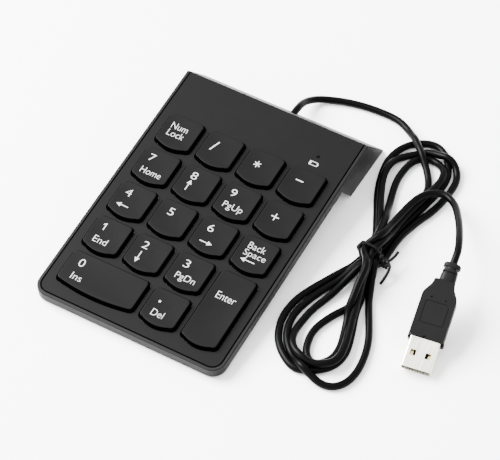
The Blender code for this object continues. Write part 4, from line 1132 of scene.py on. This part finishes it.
def foot_places():
    """World x and y of the four feet."""
    middles = []
    for i in range(1, 5):
        low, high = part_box(f"foot_{i}")
        middles.append(((low.x + high.x) / 2, (low.y + high.y) / 2))
    return middles


def bottom_cover_mesh():
    mesh = combine(tray_mesh(), "UNION", wedge_mesh())
    trim = rounded_outline([
        (-0.01, 0, 0), (-0.01, -0.03, 0), (rear_face(-0.03), -0.03, 0), (REAR_TOP, 0, REAR_ROUNDING),
    ], 10)
    mesh = combine(mesh, "INTERSECT", prism(trim, CASE_WIDTH))
    belly = soften(prism(belly_profile(0), CASE_WIDTH / 2 - BELLY_INSET), 0.0006, 3)
    mesh = combine(mesh, "UNION", belly)
    walls = (SIDE_WALL, FLOOR_WALL, WEDGE_WALL, WEDGE_WALL, WEDGE_WALL, -0.0030)
    half = CASE_WIDTH / 2 - RIM_WIDTH
    mesh = combine(
        mesh, "DIFFERENCE",
        prism(inset(case_profile(), walls), CASE_WIDTH / 2 - SIDE_WALL),
        prism(belly_profile(FLOOR_WALL), CASE_WIDTH / 2 - BELLY_INSET - FLOOR_WALL),
        slab([plan_outline(RIM_WIDTH)], -COVER_THICKNESS - GAP, CLEAR_ABOVE),
        slab([rectangle(-half, REAR_TOP - 0.005, half, BEHIND_CASE)], -LIP_DEPTH - GAP, CLEAR_ABOVE),
    )
    wells = slab(circles(REAR_SCREWS, WELL, 24), WELL_END, WELL_TOP)
    pads = circles(FRONT_SCREWS, SCREW_PAD, 24) + circles(FRONT_FEET, FOOT_PAD, 24)
    mesh = combine(mesh, "UNION", wells, slab(pads, PAD_END, PAD_TOP))
    mesh = combine(
        mesh, "DIFFERENCE",
        slab(circles((*FRONT_SCREWS, *REAR_SCREWS), SHANK, 16), CLEAR_BELOW, SHANK_TOP),
        slab(circles(FRONT_SCREWS, FRONT_HEAD, 24), CLEAR_BELOW, FRONT_HEAD_TOP),
        slab(circles(REAR_SCREWS, REAR_HEAD, 24), CLEAR_BELOW, REAR_HEAD_TOP),
        exit_hole(),
        foot_sinks(),
    )
    return finish_mesh(soften(mesh, 0.00012, 3, CASE_SOFTENING), CASE_SOFTENING)


def exit_hole():
    hole = slab([circle((0, 0), GROMMET_RADIUS + GAP / 2, 28)], -0.007, 0.010)
    place = Matrix.Translation((EXIT_X, rear_face(EXIT_Z), EXIT_Z))
    hole.transform(place @ Matrix.Rotation(-math.pi / 2, 4, "X"))
    return hole


def foot_sinks():
    """Shallow recesses for the feet, turned from the world into the deck frame."""
    sinks = slab(circles(foot_places(), FOOT_RADIUS + GAP, 28), -0.001, FOOT_HEIGHT + GAP)
    sinks.transform(DECK.inverted())
    return sinks


def foot_mesh():
    """A rubber foot: flat underneath, with a soft edge and a moulded ring."""
    top, radius = FOOT_HEIGHT, FOOT_RADIUS
    return turned([
        (0, top), (radius - 0.0001, top), (radius, top - 0.0001), (radius, 0.00045),
        (radius - 0.00007, 0.00020), (radius - 0.00022, 0.00006), (radius - 0.00045, 0),
        (0.0018, 0), (0.0017, 0.00010), (0.0015, 0.00010), (0.0014, 0), (0, 0),
    ], 40)


def add_case():
    lower, upper = bottom_cover_mesh(), top_cover_mesh()
    lower.transform(DECK)
    upper.transform(DECK)
    add_piece("bottom_shell", lower, ("tray_plastic",), "base", WORLD, ("bottom_cover",))
    add_piece("top_plate", upper, ("cover_plastic",), "base", WORLD, ("top_cover",))
    for i, (x, y) in enumerate(foot_places()):
        add_piece(
            f"rubber_foot_{i + 1}", finish_mesh(foot_mesh()), ("rubber",), "base",
            Matrix.Translation((x, y, 0)), (f"foot_{i + 1}",),
        )


add_case()


# ---- Twist tie

TIE_KNOT = (Vector((0.0702, 0.0128, 0.0072)), Vector((0.0746, 0.0110, 0.0048)))
KNOT_POINTS = 40
KNOT_TURNS = 2.5
KNOT_SWING = 1.25 * TIE_RADIUS
TIE_ENDS = (
    (
        (0.0738, 0.0124, 0.0062), (0.0747, 0.0142, 0.0066), (0.0752, 0.0164, 0.0068),
        (0.0754, 0.0182, 0.0072),
    ),
    (
        (0.0742, 0.0122, 0.0058), (0.0754, 0.0110, 0.0056), (0.0757, 0.0088, 0.0044),
        (0.0754, 0.0060, 0.0030), (0.0750, 0.0038, 0.0022),
    ),
)


def tie_ring():
    """The line that a wire takes when it's pulled tight round the cord's passes at the waist."""
    passes = [p for p in cord_path if abs(p[1] - WAIST.y) < 0.0012 and abs(p[0] - WAIST.x) < 0.012]
    reach = CORD_RADIUS + TIE_RADIUS
    ring = []
    for i in range(64):
        angle = 2 * math.pi * i / 64
        across, up = math.cos(angle), math.sin(angle)
        outermost = max(passes, key=lambda p: p[0] * across + p[2] * up)
        lean = 0.0006 * across
        height = max(outermost[2] + up * reach, TIE_RADIUS)
        ring.append((outermost[0] + across * reach, WAIST.y - lean, height))
    return ring


def knot_route():
    """Two and a half turns of one wire about the other, just beside the bundle."""
    start, end = TIE_KNOT
    along = (end - start).normalized()
    aside = along.orthogonal().normalized()
    across = along.cross(aside)
    route = []
    for i in range(KNOT_POINTS):
        share = i / (KNOT_POINTS - 1)
        angle = 2 * math.pi * KNOT_TURNS * share
        swing = aside * math.cos(angle) + across * math.sin(angle)
        route.append(start.lerp(end, share) + swing * KNOT_SWING)
    return route


def add_tie():
    mesh = evaluated_mesh(tube("tie", tie_ring(), TIE_RADIUS, closed=True))
    mesh = join(mesh, evaluated_mesh(tube("knot", knot_route(), TIE_RADIUS)))
    core = smooth_route(TIE_KNOT, 0.0005)
    mesh = join(mesh, evaluated_mesh(tube("core", core, TIE_RADIUS)))
    for end in TIE_ENDS:
        mesh = join(mesh, evaluated_mesh(tube("end", smooth_route(end, 0.0004), TIE_RADIUS)))
    mesh = finish_mesh(mesh, 50)
    slots = ("tie_plastic",)
    return add_piece("twist_tie_wire", mesh, slots, "base", WORLD, ("twist_tie",))


# ---- Plug, in its own frame: x across, y towards the lead, z up

GRIP_WIDTH = 0.0140
GRIP_HEIGHT = 0.0062
GRIP_LENGTH = 0.0249
GRIP_NECK = 0.0086
SHOULDER = (0.0172, 0.0236)
PANEL = (-0.0047, 0.0057, 0.0049, 0.0153)
PANEL_LINE = 0.0003
DIMPLES = ((-0.0029, 0.0168), (0.0029, 0.0166))
SHELL_FRONT = 0.0129
SHELL_WIDTH = 0.0120
SHELL_HEIGHT = 0.0045
SHELL_WALL = 0.0003
WINDOW_X = 0.0030
WINDOW_Y = -0.0068
RELIEF_PLACE = (
    PLUG @ Matrix.Translation((0.0006, GRIP_LENGTH + GAP, 0))
    @ Matrix.Rotation(math.radians(-1), 4, "Z")
)
RELIEF_RINGS = (
    # along, half width, half height, in millimetres
    (-0.6, 3.0, 2.6), (0.0, 3.2, 2.8), (0.6, 3.35, 2.9), (3.0, 3.25, 2.85), (3.2, 3.1, 2.7),
    (3.25, 2.7, 2.3), (3.7, 2.7, 2.3), (3.75, 3.0, 2.7), (3.95, 3.2, 2.8), (4.7, 3.1, 2.7),
    (4.95, 2.9, 2.6), (5.0, 1.9, 2.5), (5.8, 1.9, 2.5), (5.85, 3.0, 2.3), (6.05, 3.35, 2.5),
    (6.4, 3.5, 2.6), (7.4, 3.45, 2.5), (7.8, 3.1, 2.3), (8.0, 2.4, 2.1), (8.05, 1.9, 1.9),
)


def grip_outline():
    """The grip from above: straight sides that curve in to the neck."""
    start, end = SHOULDER
    side = [(GRIP_WIDTH / 2, start * i / 6) for i in range(7)]
    for i in range(1, 17):
        share = i / 16
        ease = share * share * (3 - 2 * share)
        half = GRIP_WIDTH / 2 + (GRIP_NECK - GRIP_WIDTH) / 2 * ease
        side.append((half, start + (end - start) * share))
    side += arc((GRIP_NECK / 2 - 0.0010, GRIP_LENGTH - 0.0010), 0.0010, 0, math.pi / 2, 5)
    return side + [(-x, y) for x, y in reversed(side)]


def grip_mesh():
    """The moulded grip: a panel line, two dimples, a notch over the shell and a lip below."""
    half = GRIP_HEIGHT / 2
    mesh = soften(slab([grip_outline()], -half, half), 0.0005, 4, 40)
    reach = GRIP_WIDTH / 2 + 0.0003
    lip = rectangle(-reach, -0.0007, reach, 0.0012, 0.0005, 4)
    mesh = combine(mesh, "UNION", soften(slab([lip], -half + 0.0002, 0), 0.00018, 2))
    left, front, right, rear = PANEL
    line = PANEL_LINE
    groove = slab([
        rectangle(left, front, right, rear, 0.0012),
        rectangle(left + line, front + line, right - line, rear - line, 0.0009),
    ], half - 0.00022, half + 0.001)
    dots = slab([circle(place, 0.00042, 16) for place in DIMPLES], half - 0.0005, 0.01)
    notch = slab([circle((-0.0006, 0), 0.0008, 20)], half - 0.0007, 0.01)
    mesh = combine(mesh, "DIFFERENCE", groove, dots, notch, *side_grooves())
    return finish_mesh(soften(mesh, 0.00006, 2, 50), 50)


def side_grooves():
    """Thin upright grooves down both sides of the grip, so that fingers can hold it."""
    depth = 0.00022
    outlines = []
    for i in range(12):
        along = 0.0026 + 0.0012 * i
        for side in (-1, 1):
            outer = side * (GRIP_WIDTH / 2 + 0.001)
            inner = side * (GRIP_WIDTH / 2 - depth)
            outlines.append(rectangle(min(outer, inner), along, max(outer, inner), along + 0.0005))
    return [slab(outlines, -0.0022, 0.0016)]


def relief_mesh():
    """Moulded rings and an end flange about the lead, flattened across the sides."""
    rings = []
    for along, width, height in RELIEF_RINGS:
        ring = []
        for i in range(40):
            angle = 2 * math.pi * i / 40
            across, up = math.cos(angle), math.sin(angle)
            square = 1 / (abs(across) ** 3 + abs(up) ** 3) ** (1 / 3)
            ring.append((across * square * width * MM, along * MM, up * square * height * MM))
        rings.append(ring)
    return finish_mesh(ring_loft(rings))


def shell_mesh():
    """The folded metal shell, with its four windows, a stamped mark and a seam underneath."""
    half_width, half_height = SHELL_WIDTH / 2, SHELL_HEIGHT / 2
    outer = rectangle(-half_width, -half_height, half_width, half_height, 0.0007, 6)
    inner = rectangle(
        -half_width + SHELL_WALL, -half_height + SHELL_WALL,
        half_width - SHELL_WALL, half_height - SHELL_WALL, 0.0004, 6,
    )
    mesh = slab([outer, inner], GAP, SHELL_FRONT)
    mesh.transform(Matrix.Rotation(math.pi / 2, 4, "X"))
    windows = []
    for side in (-WINDOW_X, WINDOW_X):
        windows.append(
            rectangle(side - 0.0011, WINDOW_Y - 0.0012, side + 0.0011, WINDOW_Y + 0.0012, 0.00015, 3)
        )
    mark = arc((0, -0.0032), 0.0013, math.radians(215), math.radians(325), 10)
    mark += arc((0, -0.0032), 0.00160, math.radians(325), math.radians(215), 10)
    seam = rectangle(-0.00005, -0.02, 0.00005, 0)
    mesh = combine(
        mesh, "DIFFERENCE", slab(windows, -0.01, 0.01), slab([mark], half_height - 0.00012, 0.01),
        slab([seam], -0.01, -half_height + 0.00015),
    )
    return finish_mesh(soften(mesh, 0.00009, 2, 50), 50)


def add_plug():
    grip = add_piece(
        "plug_grip", grip_mesh(), ("plug_plastic",), "base", PLUG, ("plug_body",),
    )
    relief = add_piece(
        "plug_boot", relief_mesh(), ("plug_plastic",), "base", RELIEF_PLACE, ("plug_strain_relief",),
    )
    shell = add_piece(
        "usb_shell", shell_mesh(), ("shell_metal",), "base", PLUG, ("plug_shell",),
    )
    inside = [frame["nodes"]["plug_tongue"], *[frame["nodes"][f"plug_contact_{i}"] for i in range(1, 5)]]
    return [grip, relief, shell, *inside]


tie = add_tie()
plug_pieces = add_plug()


# ---- Stage and light


def stage_material(name, shade, roughness):
    made = Nodes(name, grey(shade), roughness)
    made.colours(made.spread(made.noise(0.3, 2.0), 0, 1), grey(shade * 0.99), grey(shade))
    return made.material


def add_floor():
    bm = bmesh.new()
    bmesh.ops.create_grid(bm, x_segments=8, y_segments=8, size=3.0)
    floor = bpy.data.objects.new("floor", mesh_from(bm, "floor"))
    bpy.context.scene.collection.objects.link(floor)
    floor.data.materials.append(stage_material("floor", 0.93, 0.6))


def add_light(name, place, target, size, power):
    light = bpy.data.lights.new(name, "AREA")
    light.shape = "RECTANGLE"
    light.size, light.size_y = size
    light.energy = power
    holder = bpy.data.objects.new(name, light)
    holder.location = place
    holder.rotation_euler = (Vector(target) - Vector(place)).to_track_quat("-Z", "Y").to_euler()
    bpy.context.scene.collection.objects.link(holder)


def add_lights():
    world = bpy.data.worlds.new("studio")
    world.use_nodes = True
    background = world.node_tree.nodes["Background"]
    background.inputs["Color"].default_value = (1, 1, 1, 1)
    background.inputs["Strength"].default_value = 3.2
    bpy.context.scene.world = world
    add_light("key_light", (-0.9, -0.1, 0.9), (0, 0, 0), (0.9, 0.9), 170)
    add_light("fill_light", (-0.2, -0.9, 0.5), (0, 0, 0), (0.8, 0.5), 4)


add_floor()
add_lights()
